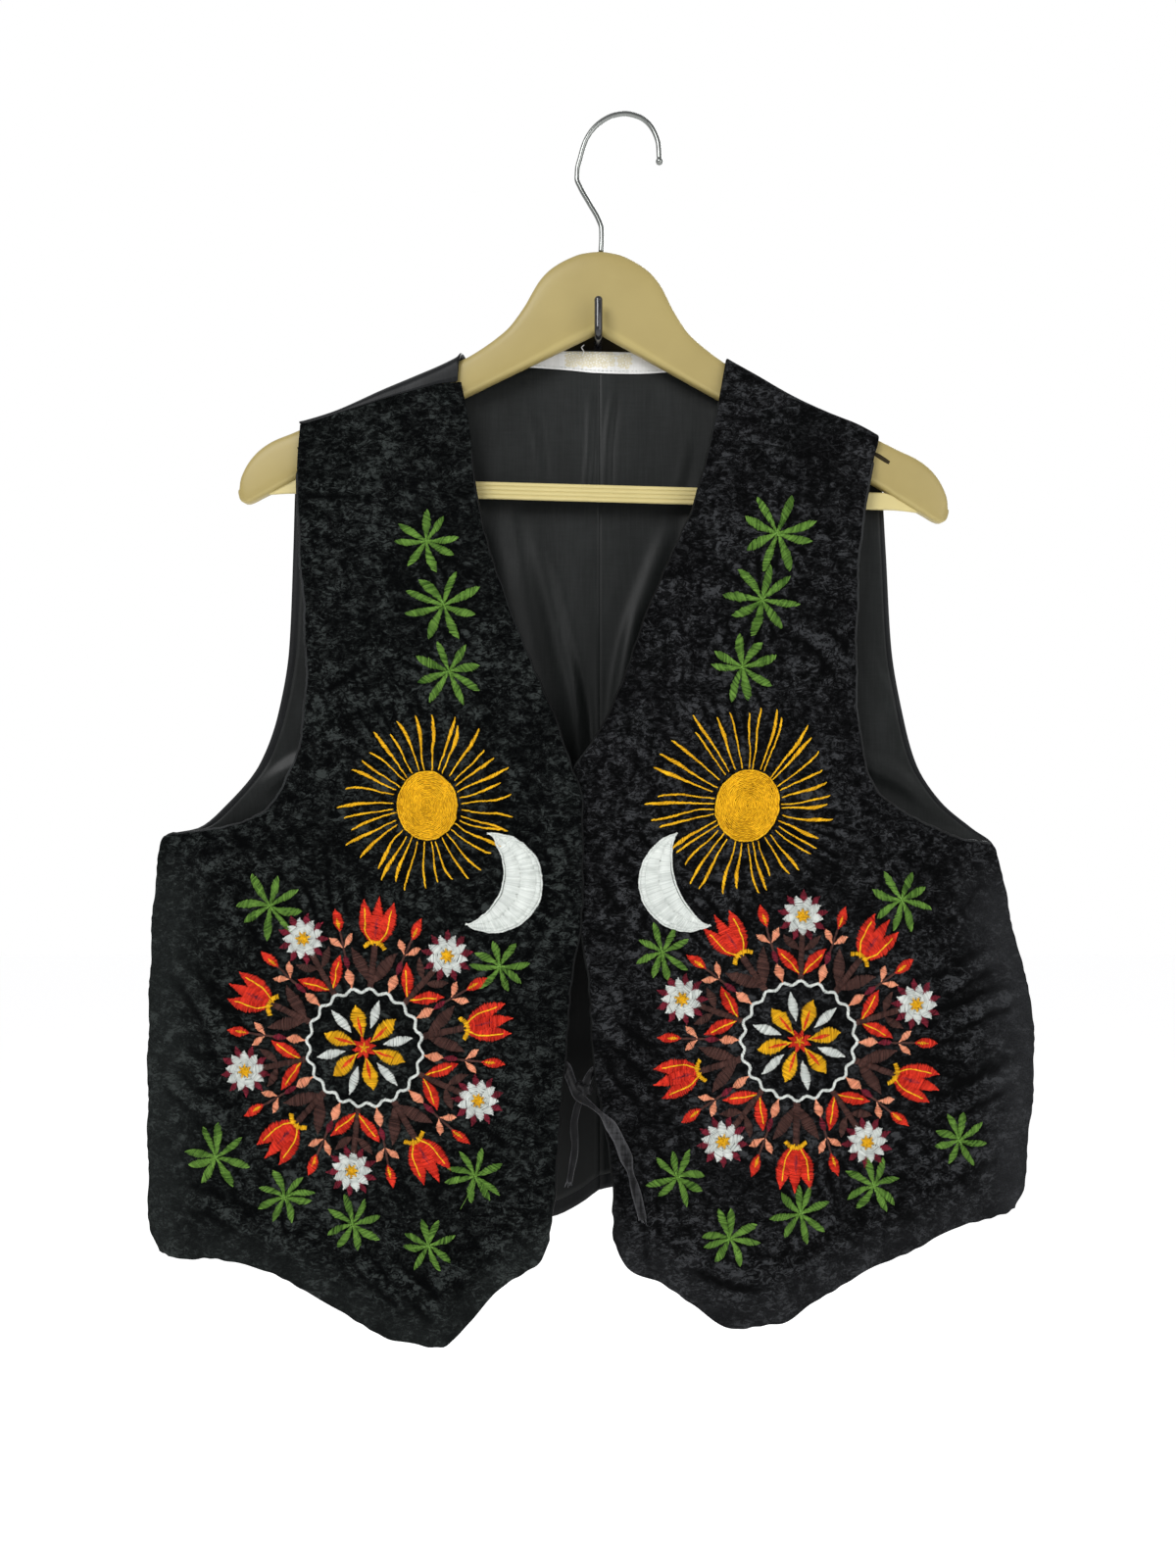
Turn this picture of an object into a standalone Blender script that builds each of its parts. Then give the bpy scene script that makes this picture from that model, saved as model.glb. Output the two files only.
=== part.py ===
"""Embroidered velvet waistcoat on a moulded hanger that hangs on a rod hook.

X is to the viewer's right, Z is up and the wall is the plane y = 0, with the
waistcoat on its -Y side. The origin is the middle of the wall plate's back.
Left and right are the viewer's. Sizes are in millimetres until the meshes are made.
"""

import math

import bmesh
import bpy
import numpy as np

MM = 0.001

VELVET_WALL = 2.0
SATIN_WALL = 1.2
LINING_WALL = 1.0
TAPE_WALL = 0.8
SEAM_GAP = 0.4
TIE_WIDTH = 7.0
TIE_WALL = 1.2

FRONT_COLUMNS = 20
FLUTE_DEPTH = 2.6
FLUTES_ACROSS = 2.3
BELLY_DEPTH = 5.0

HANGER_MIDDLE_Y = -24.0
HANGER_TILT = math.radians(1.6)
HANGER_RING = 12
CROTCH_Z = 2.8
SECTION_POWER = 4.0

BAR_TOP_Z = -92.0
BAR_HEIGHT = 13.0
BAR_HALF_DEPTH = 3.0
BAR_GROOVE_DEPTH = 0.8
BAR_GROOVES = 3
BAR_END_X = 182.2
BAR_END_SLOPE = 0.71

HOOK_WIRE_RADIUS = 2.2
HOOK_BALL_RADIUS = 3.2
ROD_RADIUS = 2.5
PLATE_RADIUS = 25.0
PLATE_THICKNESS = 4.0
PLATE_EDGE_ROUND = 0.8

LEFT_UNDERARM = 0.465
RIGHT_UNDERARM = 0.455
LEFT_BACK_UNDERARM = 0.505
RIGHT_BACK_UNDERARM = 0.495

# The outer edge of a front runs from the hem corner up the side seam and round
# the armhole. Columns: level, x, y, z. The level is 0 at the hem and 1 at the top.
LEFT_OUTER = [
    (0.00, -280.5, -24.6, -571.0), (0.06, -284.3, -24.6, -545.0), (0.20, -284.7, -24.6, -470.0),
    (0.34, -282.5, -24.6, -385.0), (0.43, -278.5, -24.6, -333.0), (0.465, -273.6, -25.0, -315.8),
    (0.50, -250.0, -29.0, -312.9), (0.535, -226.0, -32.0, -308.0), (0.565, -207.0, -34.0, -298.0),
    (0.60, -194.5, -35.5, -280.0), (0.65, -185.2, -36.5, -252.0), (0.71, -181.9, -37.0, -215.0),
    (0.79, -183.6, -37.0, -170.0), (0.88, -187.0, -36.5, -123.0), (0.95, -188.2, -35.0, -85.0),
    (1.00, -186.7, -33.2, -57.5),
]
RIGHT_OUTER = [
    (0.00, 266.5, -24.6, -545.0), (0.06, 271.0, -24.6, -515.0), (0.18, 275.5, -24.6, -456.6),
    (0.27, 273.5, -24.6, -420.0), (0.34, 264.5, -24.6, -385.0), (0.41, 256.0, -24.6, -345.0),
    (0.455, 249.5, -25.0, -321.5), (0.50, 230.0, -29.0, -318.0), (0.54, 208.0, -32.0, -309.5),
    (0.575, 188.0, -34.0, -299.0), (0.61, 173.2, -35.5, -285.7), (0.66, 163.8, -36.5, -258.0),
    (0.72, 160.4, -37.0, -215.0), (0.80, 161.2, -37.0, -168.0), (0.87, 163.5, -36.5, -130.0),
    (0.93, 169.0, -35.5, -95.0), (0.955, 172.8, -34.6, -76.0), (0.97, 174.8, -34.0, -69.5),
    (0.98, 175.4, -33.2, -66.0), (0.99, 175.7, -30.0, -63.8), (1.00, 175.9, -24.6, -63.0),
]
# The inner edge runs from the hem up the front edge and round the V-neck.
LEFT_INNER = [
    (0.00, -30.7, -57.0, -562.4), (0.06, -27.2, -57.0, -532.0), (0.14, -24.0, -57.0, -485.0),
    (0.22, -20.4, -57.0, -446.0), (0.29, -17.0, -57.0, -402.0), (0.35, -12.2, -57.0, -376.0),
    (0.42, -10.2, -57.0, -350.0), (0.50, -10.2, -56.8, -318.0), (0.56, -10.4, -56.4, -291.0),
    (0.60, -16.5, -55.6, -274.0), (0.66, -29.0, -53.7, -237.0), (0.72, -41.5, -51.5, -209.0),
    (0.79, -56.0, -48.5, -172.0), (0.86, -69.5, -45.0, -132.0), (0.92, -77.4, -41.0, -95.0),
    (0.96, -80.8, -37.5, -62.0), (1.00, -86.5, -33.7, -31.0),
]
RIGHT_INNER = [
    (0.00, 9.2, -57.0, -562.0), (0.06, 9.6, -57.0, -535.0), (0.14, 5.0, -57.0, -494.0),
    (0.22, -2.4, -57.0, -456.0), (0.29, -5.5, -56.6, -405.0), (0.34, -9.6, -55.4, -379.0),
    (0.38, -14.5, -53.4, -362.0), (0.44, -15.8, -53.2, -335.0), (0.50, -15.8, -53.0, -305.0),
    (0.55, -15.0, -52.8, -276.0), (0.60, -2.0, -52.5, -255.5), (0.66, 13.5, -51.5, -224.0),
    (0.72, 27.6, -50.0, -184.0), (0.79, 44.6, -47.5, -143.0), (0.85, 58.5, -44.5, -112.0),
    (0.91, 68.5, -41.0, -77.0), (0.95, 76.0, -36.2, -42.0), (0.97, 78.8, -34.3, -26.5),
    (0.98, 80.2, -33.2, -18.8), (0.99, 81.0, -30.0, -15.7), (1.00, 81.5, -24.6, -15.2),
]
# A hem runs from the side seam to the front edge. Columns: share, x, y, z.
LEFT_HEM = [
    (0.00, -280.5, -24.6, -571.0), (0.06, -262.0, -30.0, -573.3), (0.16, -233.5, -37.0, -577.6),
    (0.28, -204.5, -42.0, -586.0), (0.40, -176.0, -46.0, -599.4), (0.50, -146.0, -49.0, -616.5),
    (0.58, -124.0, -51.0, -624.6), (0.67, -97.3, -53.0, -627.2), (0.76, -80.0, -54.2, -614.0),
    (0.86, -59.5, -55.5, -590.5), (0.94, -42.8, -56.4, -579.4), (0.98, -34.9, -56.8, -573.3),
    (1.00, -30.7, -57.0, -562.4),
]
RIGHT_HEM = [
    (0.00, 266.5, -24.6, -545.0), (0.05, 253.0, -28.5, -547.5), (0.16, 220.6, -36.0, -559.4),
    (0.28, 190.3, -41.0, -574.5), (0.39, 164.9, -45.0, -585.4), (0.50, 136.0, -48.5, -601.0),
    (0.59, 112.0, -51.0, -613.3), (0.69, 84.3, -53.0, -616.3), (0.79, 60.0, -54.7, -603.5),
    (0.89, 36.0, -56.0, -587.0), (0.96, 17.7, -56.7, -578.2), (1.00, 9.2, -57.0, -562.0),
]
# The top edge of a front. The left one lies on the hanger's face, the right one on its ridge.
LEFT_SHOULDER = [
    (0.00, -186.7, -33.2, -57.5), (0.35, -152.0, -33.4, -47.5), (0.60, -126.0, -33.5, -39.5),
    (0.85, -100.0, -33.6, -32.5), (1.00, -86.5, -33.7, -31.0),
]
RIGHT_SHOULDER = [
    (0.00, 175.9, -24.6, -63.0), (0.18, 163.7, -24.6, -56.2), (0.37, 145.0, -24.6, -48.6),
    (0.55, 128.9, -24.6, -41.2), (0.72, 114.6, -24.6, -33.6), (0.86, 100.9, -24.6, -25.8),
    (1.00, 81.5, -24.6, -15.2),
]

# The back's outer edge, up to the back of the hanger's ridge. Columns: level, x, y, z.
LEFT_BACK_OUTER = [
    (0.00, -280.5, -22.6, -569.5), (0.06, -284.3, -22.6, -545.0), (0.22, -284.7, -22.6, -470.0),
    (0.38, -282.5, -22.6, -385.0), (0.47, -278.5, -22.4, -333.0), (0.505, -274.6, -21.5, -316.0),
    (0.54, -255.0, -18.0, -311.0), (0.58, -236.2, -16.5, -295.2), (0.63, -216.1, -15.5, -270.1),
    (0.69, -204.4, -15.0, -238.0), (0.77, -197.3, -14.6, -194.8), (0.88, -194.8, -14.2, -132.0),
    (0.96, -193.4, -14.0, -88.0), (1.00, -190.4, -14.0, -61.0),
]
RIGHT_BACK_OUTER = [
    (0.00, 266.5, -22.6, -543.5), (0.06, 271.0, -22.6, -515.0), (0.20, 275.5, -22.6, -456.6),
    (0.30, 273.5, -22.6, -420.0), (0.38, 264.5, -22.6, -385.0), (0.45, 256.0, -22.4, -345.0),
    (0.495, 251.0, -21.5, -322.0), (0.54, 238.0, -18.0, -311.0), (0.58, 219.5, -16.5, -295.2),
    (0.63, 203.1, -15.5, -270.1), (0.69, 194.4, -15.0, -238.0), (0.77, 187.2, -14.6, -194.8),
    (0.88, 183.7, -14.2, -132.0), (0.96, 180.5, -14.0, -84.0), (1.00, 177.3, -14.0, -69.5),
]
LEFT_BACK_HEM = [
    (0.00, -280.5, -22.6, -569.5), (0.10, -255.0, -16.0, -569.5), (0.25, -215.0, -11.5, -570.0),
    (0.60, -120.0, -9.0, -569.0), (0.90, -29.7, -9.0, -560.6), (0.96, -11.5, -9.0, -552.5),
    (1.00, 0.6, -9.0, -543.5),
]
RIGHT_BACK_HEM = [
    (0.00, 266.5, -22.6, -543.5), (0.10, 240.0, -16.0, -543.5), (0.25, 200.0, -11.5, -545.0),
    (0.60, 110.0, -9.0, -548.0), (0.90, 28.0, -9.0, -543.5), (0.96, 11.8, -9.0, -541.8),
    (1.00, 1.0, -9.0, -543.5),
]
# The top of the base: the shoulder to share NECK_START, then the neck edge to the centre.
NECK_START = 0.52
LEFT_BACK_TOP = [
    (0.00, -190.4, -14.0, -61.8), (0.12, -168.0, -14.0, -55.2), (0.28, -133.2, -14.0, -40.2),
    (0.40, -115.2, -14.0, -32.6), (0.49, -96.0, -14.0, -24.2), (0.52, -88.6, -14.0, -20.2),
    (0.56, -84.0, -13.8, -15.6), (0.66, -64.0, -12.0, -8.0), (0.80, -32.0, -10.4, -4.8),
    (1.00, 0.6, -10.0, -5.8),
]
RIGHT_BACK_TOP = [
    (0.00, 177.3, -14.0, -69.5), (0.12, 163.7, -14.0, -61.4), (0.28, 128.9, -14.0, -46.5),
    (0.40, 114.6, -14.0, -39.0), (0.49, 93.0, -14.0, -27.5), (0.52, 84.5, -14.0, -22.0),
    (0.56, 80.5, -13.8, -17.5), (0.66, 62.6, -12.0, -9.2), (0.80, 31.6, -10.4, -5.6),
    (1.00, 1.0, -10.0, -5.8),
]
CENTRE_BACK = [
    (0.00, -9.0, -543.5), (0.30, -8.4, -400.0), (0.60, -9.0, -240.0), (0.85, -9.6, -90.0),
    (1.00, -10.0, -5.8),
]
# Rows that carry the back over the ridge. Columns: y, height above the base's top.
LEFT_OVER_RIDGE = [
    (-14.0, 0.0), (-15.4, 3.6), (-18.6, 5.8), (-24.0, 6.8), (-30.2, 5.8), (-33.3, 1.6),
]
RIGHT_OVER_RIDGE = [(-14.0, 0.0), (-15.2, 3.4), (-18.4, 5.2), (-23.8, 5.9)]
LEFT_LAST_ROW_Y = -33.8
NECK_ROW_RISE = 0.2
# Shares of the top where the back changes from wrapped shoulder to open neck edge.
NECK_TURN = [0.526, 0.536, 0.548, 0.56]

# The tape inside the back neck. Columns: x, top z, bottom z.
NECK_TAPE = [
    (-68.0, -11.6, -15.0), (-45.0, -7.2, -15.6), (-22.0, -5.6, -17.0), (0.0, -5.8, -19.0),
    (24.0, -6.4, -19.6), (45.0, -8.4, -18.6), (66.0, -12.4, -16.2),
]

# One arm of the hanger. Columns: top x, top z, low x, low z, half depth.
HANGER_ARM = [
    (10.5, 52.6, 5.0, 0.3, 6.5), (20.0, 49.0, 11.0, -2.9, 6.5), (31.7, 41.5, 19.0, -7.0, 6.5),
    (38.2, 34.1, 27.0, -11.2, 6.5), (42.5, 26.6, 34.0, -14.8, 6.5), (46.3, 19.2, 42.0, -18.9, 6.5),
    (51.0, 11.7, 50.0, -23.0, 6.5), (56.5, 4.2, 58.5, -27.4, 6.5), (64.6, -3.2, 68.0, -32.3, 6.5),
    (75.1, -11.0, 79.0, -38.0, 6.5), (83.5, -16.2, 87.0, -42.1, 6.5),
    (92.0, -19.8, 96.0, -46.8, 6.5), (101.0, -25.2, 106.0, -52.0, 6.5), (115.0, -32.6, 121.0, -59.7, 6.5),
    (130.0, -39.8, 138.0, -68.4, 6.5), (145.0, -46.4, 155.0, -77.2, 6.5),
    (164.0, -53.8, 171.0, -85.5, 6.5), (180.0, -61.0, 183.0, -91.7, 6.5),
    (191.0, -66.2, 187.5, -98.0, 6.5), (204.0, -72.0, 192.0, -103.3, 6.4),
    (212.3, -78.1, 204.0, -105.0, 6.2), (217.5, -84.2, 210.0, -107.4, 6.0),
    (221.0, -90.3, 215.0, -110.4, 5.7), (223.4, -97.0, 219.0, -111.6, 5.2),
    (224.0, -102.5, 222.0, -110.4, 3.6),
]
HANGER_NECK = (0.0, 53.9, 0.0, CROTCH_Z, 6.5)

# The wire hook's middle line. Columns: x, z.
HOOK_PATH = [
    (0.3, 54.6), (0.6, 64.0), (0.6, 71.3), (-2.8, 78.8), (-9.0, 88.1), (-15.0, 98.6),
    (-16.4, 108.6), (-14.4, 119.8), (-8.8, 131.0), (0.6, 139.2), (13.4, 142.4), (25.6, 138.0),
    (32.6, 128.5), (35.1, 119.8), (35.7, 114.0),
]
# The rod hook's middle line. Columns: y, z.
ROD_PATH = [
    (-4.4, -0.4), (-14.0, -0.4), (-28.0, -0.5), (-33.0, -1.5), (-36.6, -2.8), (-39.6, -1.9),
    (-41.2, 1.4), (-41.2, 7.0), (-40.4, 18.3),
]
# Middle lines of the two ties. Columns: x, y, z.
LEFT_TIE = [
    (-26.0, -54.2, -453.5), (-20.5, -54.6, -456.0), (-17.4, -58.6, -462.0), (-12.6, -63.8, -471.5),
    (-4.7, -65.2, -477.5), (3.5, -63.2, -485.5), (10.4, -61.0, -496.0), (16.4, -60.8, -509.5),
    (20.6, -60.8, -523.5), (24.0, -60.8, -536.0), (26.9, -60.8, -548.1),
]
RIGHT_TIE = [
    (3.6, -54.0, -455.5), (-3.4, -54.0, -459.0), (-7.4, -57.5, -465.0), (-10.4, -60.9, -473.0),
    (-13.2, -61.0, -480.5), (-15.0, -60.8, -491.0), (-14.4, -60.6, -503.3), (-16.0, -60.4, -515.3),
    (-17.8, -60.2, -525.4),
]


def smooth(places, values, at):
    """Monotone cubic through the stations: it keeps straights straight and never overshoots."""
    places = np.asarray(places, float)
    values = np.asarray(values, float)
    step = np.diff(places)
    slope = np.diff(values) / step
    tangent = np.zeros(len(places))
    tangent[0] = slope[0]
    tangent[-1] = slope[-1]
    same = slope[:-1] * slope[1:] > 0
    before = 2 * step[1:] + step[:-1]
    after = step[1:] + 2 * step[:-1]
    safe = np.where(same, slope[:-1] * slope[1:], 1.0)
    mean = (before + after) * safe / (before * slope[1:] + after * slope[:-1] + (~same) * 1e9)
    tangent[1:-1] = np.where(same, mean, 0.0)
    at = np.asarray(at, float)
    cell = np.clip(np.searchsorted(places, at, side="right") - 1, 0, len(step) - 1)
    part = (at - places[cell]) / step[cell]
    return (
        values[cell] * (1 + 2 * part) * (1 - part) ** 2
        + tangent[cell] * step[cell] * part * (1 - part) ** 2
        + values[cell + 1] * part**2 * (3 - 2 * part)
        + tangent[cell + 1] * step[cell] * part**2 * (part - 1)
    )


def curve(table, at):
    """Points of a table's curve: its first column is the place, the rest are coordinates."""
    table = np.asarray(table, float)
    columns = [smooth(table[:, 0], table[:, k], at) for k in range(1, table.shape[1])]
    return np.stack(columns, axis=-1)


def patch(outer, inner, hem, top, u, v):
    """Coons patch: outer edge at u = 0, inner edge at u = 1, hem at v = 0, top at v = 1."""
    left = curve(outer, v)[:, None, :]
    right = curve(inner, v)[:, None, :]
    low = curve(hem, u)[None, :, :]
    high = curve(top, u)[None, :, :]
    across = u[None, :, None]
    up = v[:, None, None]
    corners = (1 - up) * ((1 - across) * low[:, :1] + across * low[:, -1:])
    corners = corners + up * ((1 - across) * high[:, :1] + across * high[:, -1:])
    ruled = (1 - across) * left + across * right + (1 - up) * low + up * high
    return ruled - corners


def levels(corner, below, above, last=1.0):
    """Levels of the rows, with one of them on the underarm corner."""
    return np.concatenate([np.linspace(0, corner, below)[:-1], np.linspace(corner, last, above)])


def front(outer, inner, hem, top, corner, ridge):
    """Middle surface of a front, with a soft belly and flutes that run out of the hem.

    Close rows near the top follow the hanger's ridge where the front is carried over it.
    """
    u = np.linspace(0, 1, FRONT_COLUMNS)
    v = levels(corner, 10, 19)
    if ridge:
        v = np.concatenate([levels(corner, 10, 15, 0.94), [0.955, 0.97, 0.98, 0.985, 0.99, 1.0]])
    points = patch(outer, inner, hem, top, u, v)
    across = u[None, :]
    up = v[:, None]
    middle = np.sin(math.pi * across)
    belly = BELLY_DEPTH * middle * np.sin(math.pi * up) ** 2
    flutes = FLUTE_DEPTH * middle * (1 - up) ** 2 * np.cos(2 * math.pi * FLUTES_ACROSS * across)
    points[:, :, 1] -= belly - flutes
    return points


def centre_line(side_x):
    """The centre-back edge of one half, in the form of a front's edge table."""
    return [(level, side_x, y, z) for level, y, z in CENTRE_BACK]


def back_base(outer, centre, hem, top, corner):
    """Middle surface of half the back, up to the back of the ridge and to the neck edge."""
    shoulder = np.linspace(0.08, NECK_START, 6)
    neck = np.linspace(NECK_TURN[-1], 1, 6)[1:]
    u = np.concatenate([[0, 0.025], shoulder, NECK_TURN, neck])
    v = levels(corner, 9, 16)
    v = np.concatenate([[0, 0.02], v[1:-1], [0.985, 1]])
    return u, patch(outer, centre, hem, top, u, v)


def over_ridge(u, edge, arc, seam):
    """Rows that carry the shoulder over the hanger, and leave the neck edge behind it.

    The arc runs from the back of the ridge to the shoulder seam. A column goes along it
    by its share: all of it at the shoulder and none of it at the neck.
    """
    share = np.clip((NECK_TURN[-1] - u) / (NECK_TURN[-1] - NECK_START), 0, 1)
    arc = np.asarray(arc, float)
    y = np.repeat(arc[:, :1], len(u), axis=1)
    height = np.repeat(arc[:, 1:], len(u), axis=1)
    if seam is not None:
        seam = np.asarray(seam, float)
        drop = np.interp(edge[:, 0], seam[:, 1], seam[:, 3]) + 3 * SEAM_GAP - edge[:, 2]
        height[-1] = np.maximum(height[-1], (height[-2] + drop) / 2)
        y = np.vstack([y, np.full(len(u), LEFT_LAST_ROW_Y)])
        height = np.vstack([height, drop])
    place = np.arange(len(y))
    rows = []
    for count in place[1:]:
        at = count * share
        column = range(len(u))
        forward = np.array([smooth(place, y[:, j], at[j]) for j in column]) - arc[0, 0]
        rise = np.array([smooth(place, height[:, j], at[j]) for j in column])
        row = edge.copy()
        row[:, 1] += forward
        row[:, 2] += rise + (1 - share) * NECK_ROW_RISE * count
        rows.append(row)
    return np.stack(rows)


def back(outer, centre, hem, top, corner, arc, seam):
    """Half the back, with its shoulder carried over the hanger's ridge."""
    u, base = back_base(outer, centre, hem, top, corner)
    return np.concatenate([base, over_ridge(u, base[-1], arc, seam)])


def surface_normals(grid):
    """Unit normals of a grid of points."""
    along = np.gradient(grid, axis=0)
    across = np.gradient(grid, axis=1)
    normal = np.cross(across, along)
    return normal / np.linalg.norm(normal, axis=2, keepdims=True)


def material(name, colour, roughness, metallic=0.0):
    made = bpy.data.materials.new(name)
    made.use_nodes = True
    shader = made.node_tree.nodes["Principled BSDF"]
    shader.inputs["Base Color"].default_value = (*colour, 1.0)
    shader.inputs["Roughness"].default_value = roughness
    shader.inputs["Metallic"].default_value = metallic
    return made


def add_mesh(name, points, faces, finish):
    """One closed body with its faces out, smooth shaded."""
    data = bpy.data.meshes.new(name)
    data.from_pydata([tuple(p) for p in np.asarray(points) * MM], [], faces)
    shape = bmesh.new()
    shape.from_mesh(data)
    bmesh.ops.recalc_face_normals(shape, faces=shape.faces)
    shape.to_mesh(data)
    shape.free()
    data.polygons.foreach_set("use_smooth", np.ones(len(data.polygons), bool))
    data.materials.append(finish)
    made = bpy.data.objects.new(name, data)
    bpy.context.collection.objects.link(made)
    return made


def add_wall(name, grid, thickness, finish):
    """A cloth wall: the middle surface moved half the thickness to each side and closed."""
    rows, columns = grid.shape[:2]
    normal = surface_normals(grid)
    shift = normal * thickness / 2
    points = np.concatenate([(grid + shift).reshape(-1, 3), (grid - shift).reshape(-1, 3)])
    other = rows * columns
    faces = []
    for i in range(rows - 1):
        for j in range(columns - 1):
            a = i * columns + j
            ring = (a, a + 1, a + columns + 1, a + columns)
            faces.append(ring)
            faces.append(tuple(other + k for k in reversed(ring)))
    rim = [j for j in range(columns)]
    rim += [i * columns + columns - 1 for i in range(1, rows)]
    rim += [(rows - 1) * columns + j for j in range(columns - 2, -1, -1)]
    rim += [i * columns for i in range(rows - 2, 0, -1)]
    for a, b in zip(rim, rim[1:] + rim[:1]):
        faces.append((b, a, other + a, other + b))
    return add_mesh(name, points, faces, finish)


def add_loft(name, rings, finish):
    """A closed body through rings of equal length, with a flat cap at each end."""
    rings = np.asarray(rings, float)
    count, size = rings.shape[:2]
    faces = [tuple(range(size)), tuple((count - 1) * size + k for k in reversed(range(size)))]
    for i in range(count - 1):
        for k in range(size):
            a = i * size + k
            b = i * size + (k + 1) % size
            faces.append((b, a, a + size, b + size))
    return add_mesh(name, rings.reshape(-1, 3), faces, finish)


def path_points(stations, count):
    """A smooth path through stations, evenly spaced along its length."""
    stations = np.asarray(stations, float)
    run = np.concatenate([[0.0], np.cumsum(np.linalg.norm(np.diff(stations, axis=0), axis=1))])
    fine = np.linspace(0, run[-1], 400)
    dense = np.stack([smooth(run, stations[:, k], fine) for k in range(3)], axis=1)
    gone = np.concatenate([[0.0], np.cumsum(np.linalg.norm(np.diff(dense, axis=0), axis=1))])
    even = np.linspace(0, gone[-1], count)
    return np.stack([np.interp(even, gone, dense[:, k]) for k in range(3)], axis=1)


def frames(path, first):
    """Tangent, side and lift at each point, with the side carried along without twist."""
    tangent = np.gradient(path, axis=0)
    tangent /= np.linalg.norm(tangent, axis=1, keepdims=True)
    side = np.zeros_like(path)
    held = np.asarray(first, float)
    for i, way in enumerate(tangent):
        held = held - way * held.dot(way)
        held = held / np.linalg.norm(held)
        side[i] = held
    return tangent, side, np.cross(tangent, side)


def tube_rings(path, radii, size, first):
    _, side, lift = frames(path, first)
    turn = np.arange(size) * 2 * math.pi / size
    ring = np.cos(turn)[None, :, None] * side[:, None] + np.sin(turn)[None, :, None] * lift[:, None]
    return path[:, None] + ring * np.asarray(radii)[:, None, None]


def rounded_end_radii(path, radius, end_radius):
    """Radii of a rod whose far end swells to a ball and closes, with the ball's extra rings."""
    count = 6
    way = path[-1] - path[-2]
    way = way / np.linalg.norm(way)
    turn = np.linspace(math.asin(min(radius / end_radius, 0.98)), math.pi - 0.25, count)
    centre = path[-1] + way * end_radius * math.cos(turn[0])
    extra = centre - np.cos(turn)[:, None] * way * end_radius
    return np.concatenate([path, extra[1:]]), np.concatenate(
        [np.full(len(path), radius), np.sin(turn[1:]) * end_radius]
    )


def tie_rings(stations, count, first):
    """A flat tape along the path: width across it, wall through it."""
    path = path_points(stations, count)
    _, side, lift = frames(path, first)
    half = TIE_WIDTH / 2
    wall = TIE_WALL / 2
    corners = [(-half, -wall), (half, -wall), (half, wall), (-half, wall)]
    return np.stack([path + side * a + lift * b for a, b in corners], axis=1)


def tilt(points):
    """Turns the hanger about its crotch, right side down."""
    points = np.asarray(points, float)
    turned = points.copy()
    x = points[..., 0]
    z = points[..., 2] - CROTCH_Z
    turned[..., 0] = x * math.cos(HANGER_TILT) + z * math.sin(HANGER_TILT)
    turned[..., 2] = CROTCH_Z + z * math.cos(HANGER_TILT) - x * math.sin(HANGER_TILT)
    return turned


def hanger_section(station, side):
    """A rounded-rectangle ring between the arm's top and low lines."""
    top_x, top_z, low_x, low_z, half_depth = station
    top = np.array([side * top_x, HANGER_MIDDLE_Y, top_z])
    low = np.array([side * low_x, HANGER_MIDDLE_Y, low_z])
    turn = (np.arange(HANGER_RING) + 0.5) * 2 * math.pi / HANGER_RING
    power = 2 / SECTION_POWER
    up = np.sign(np.cos(turn)) * np.abs(np.cos(turn)) ** power
    out = np.sign(np.sin(turn)) * np.abs(np.sin(turn)) ** power
    up = up / np.abs(up).max()
    out = out / np.abs(out).max()
    middle = (top + low) / 2
    depth = np.array([0.0, half_depth, 0.0])
    return middle + up[:, None] * (top - low) / 2 + out[:, None] * depth


def hanger_rings():
    left = [hanger_section(station, -1) for station in reversed(HANGER_ARM)]
    right = [hanger_section(station, 1) for station in HANGER_ARM]
    return tilt(np.stack(left + [hanger_section(HANGER_NECK, 1)] + right))


def bar_profile():
    """The bar's section: flat back, front with level grooves. Rows of y and height from the top."""
    rows = [(BAR_HALF_DEPTH, 0.0), (BAR_HALF_DEPTH, -BAR_HEIGHT)]
    pitch = BAR_HEIGHT / (BAR_GROOVES + 1)
    rows.append((-BAR_HALF_DEPTH, -BAR_HEIGHT))
    for groove in range(BAR_GROOVES, 0, -1):
        middle = -pitch * groove
        rows.append((-BAR_HALF_DEPTH, middle - pitch * 0.28))
        rows.append((-BAR_HALF_DEPTH + BAR_GROOVE_DEPTH, middle))
        rows.append((-BAR_HALF_DEPTH, middle + pitch * 0.28))
    rows.append((-BAR_HALF_DEPTH, 0.0))
    return rows


def bar_rings():
    rings = []
    for side in (-1, 1):
        ring = []
        for y, below in bar_profile():
            x = BAR_END_X - BAR_END_SLOPE * below
            ring.append((side * x, HANGER_MIDDLE_Y + y, BAR_TOP_Z + below))
        rings.append(ring)
    return tilt(np.array(rings, float))


def depth_of(grid, x, z):
    """Depth of a panel's middle surface at places seen from the front."""
    flat = grid.reshape(-1, 3)
    away = (flat[None, :, 0] - x.reshape(-1, 1)) ** 2 + (flat[None, :, 2] - z.reshape(-1, 1)) ** 2
    weight = 1 / (away + 1.0) ** 2
    return ((weight * flat[None, :, 1]).sum(1) / weight.sum(1)).reshape(x.shape)


def tape_grid(lining):
    """The neck tape on the lining: rows from its bottom to its top, columns along x."""
    table = np.asarray(NECK_TAPE, float)
    x = np.linspace(table[0, 0], table[-1, 0], 25)
    top = smooth(table[:, 0], table[:, 1], x)
    low = smooth(table[:, 0], table[:, 2], x)
    part = np.linspace(0, 1, 4)[:, None]
    z = low[None, :] * (1 - part) + top[None, :] * part
    x = np.broadcast_to(x[None, :], z.shape)
    y = depth_of(lining, x, z) - (LINING_WALL + TAPE_WALL) / 2 - SEAM_GAP
    return np.stack([x, y, z], axis=2)


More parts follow.
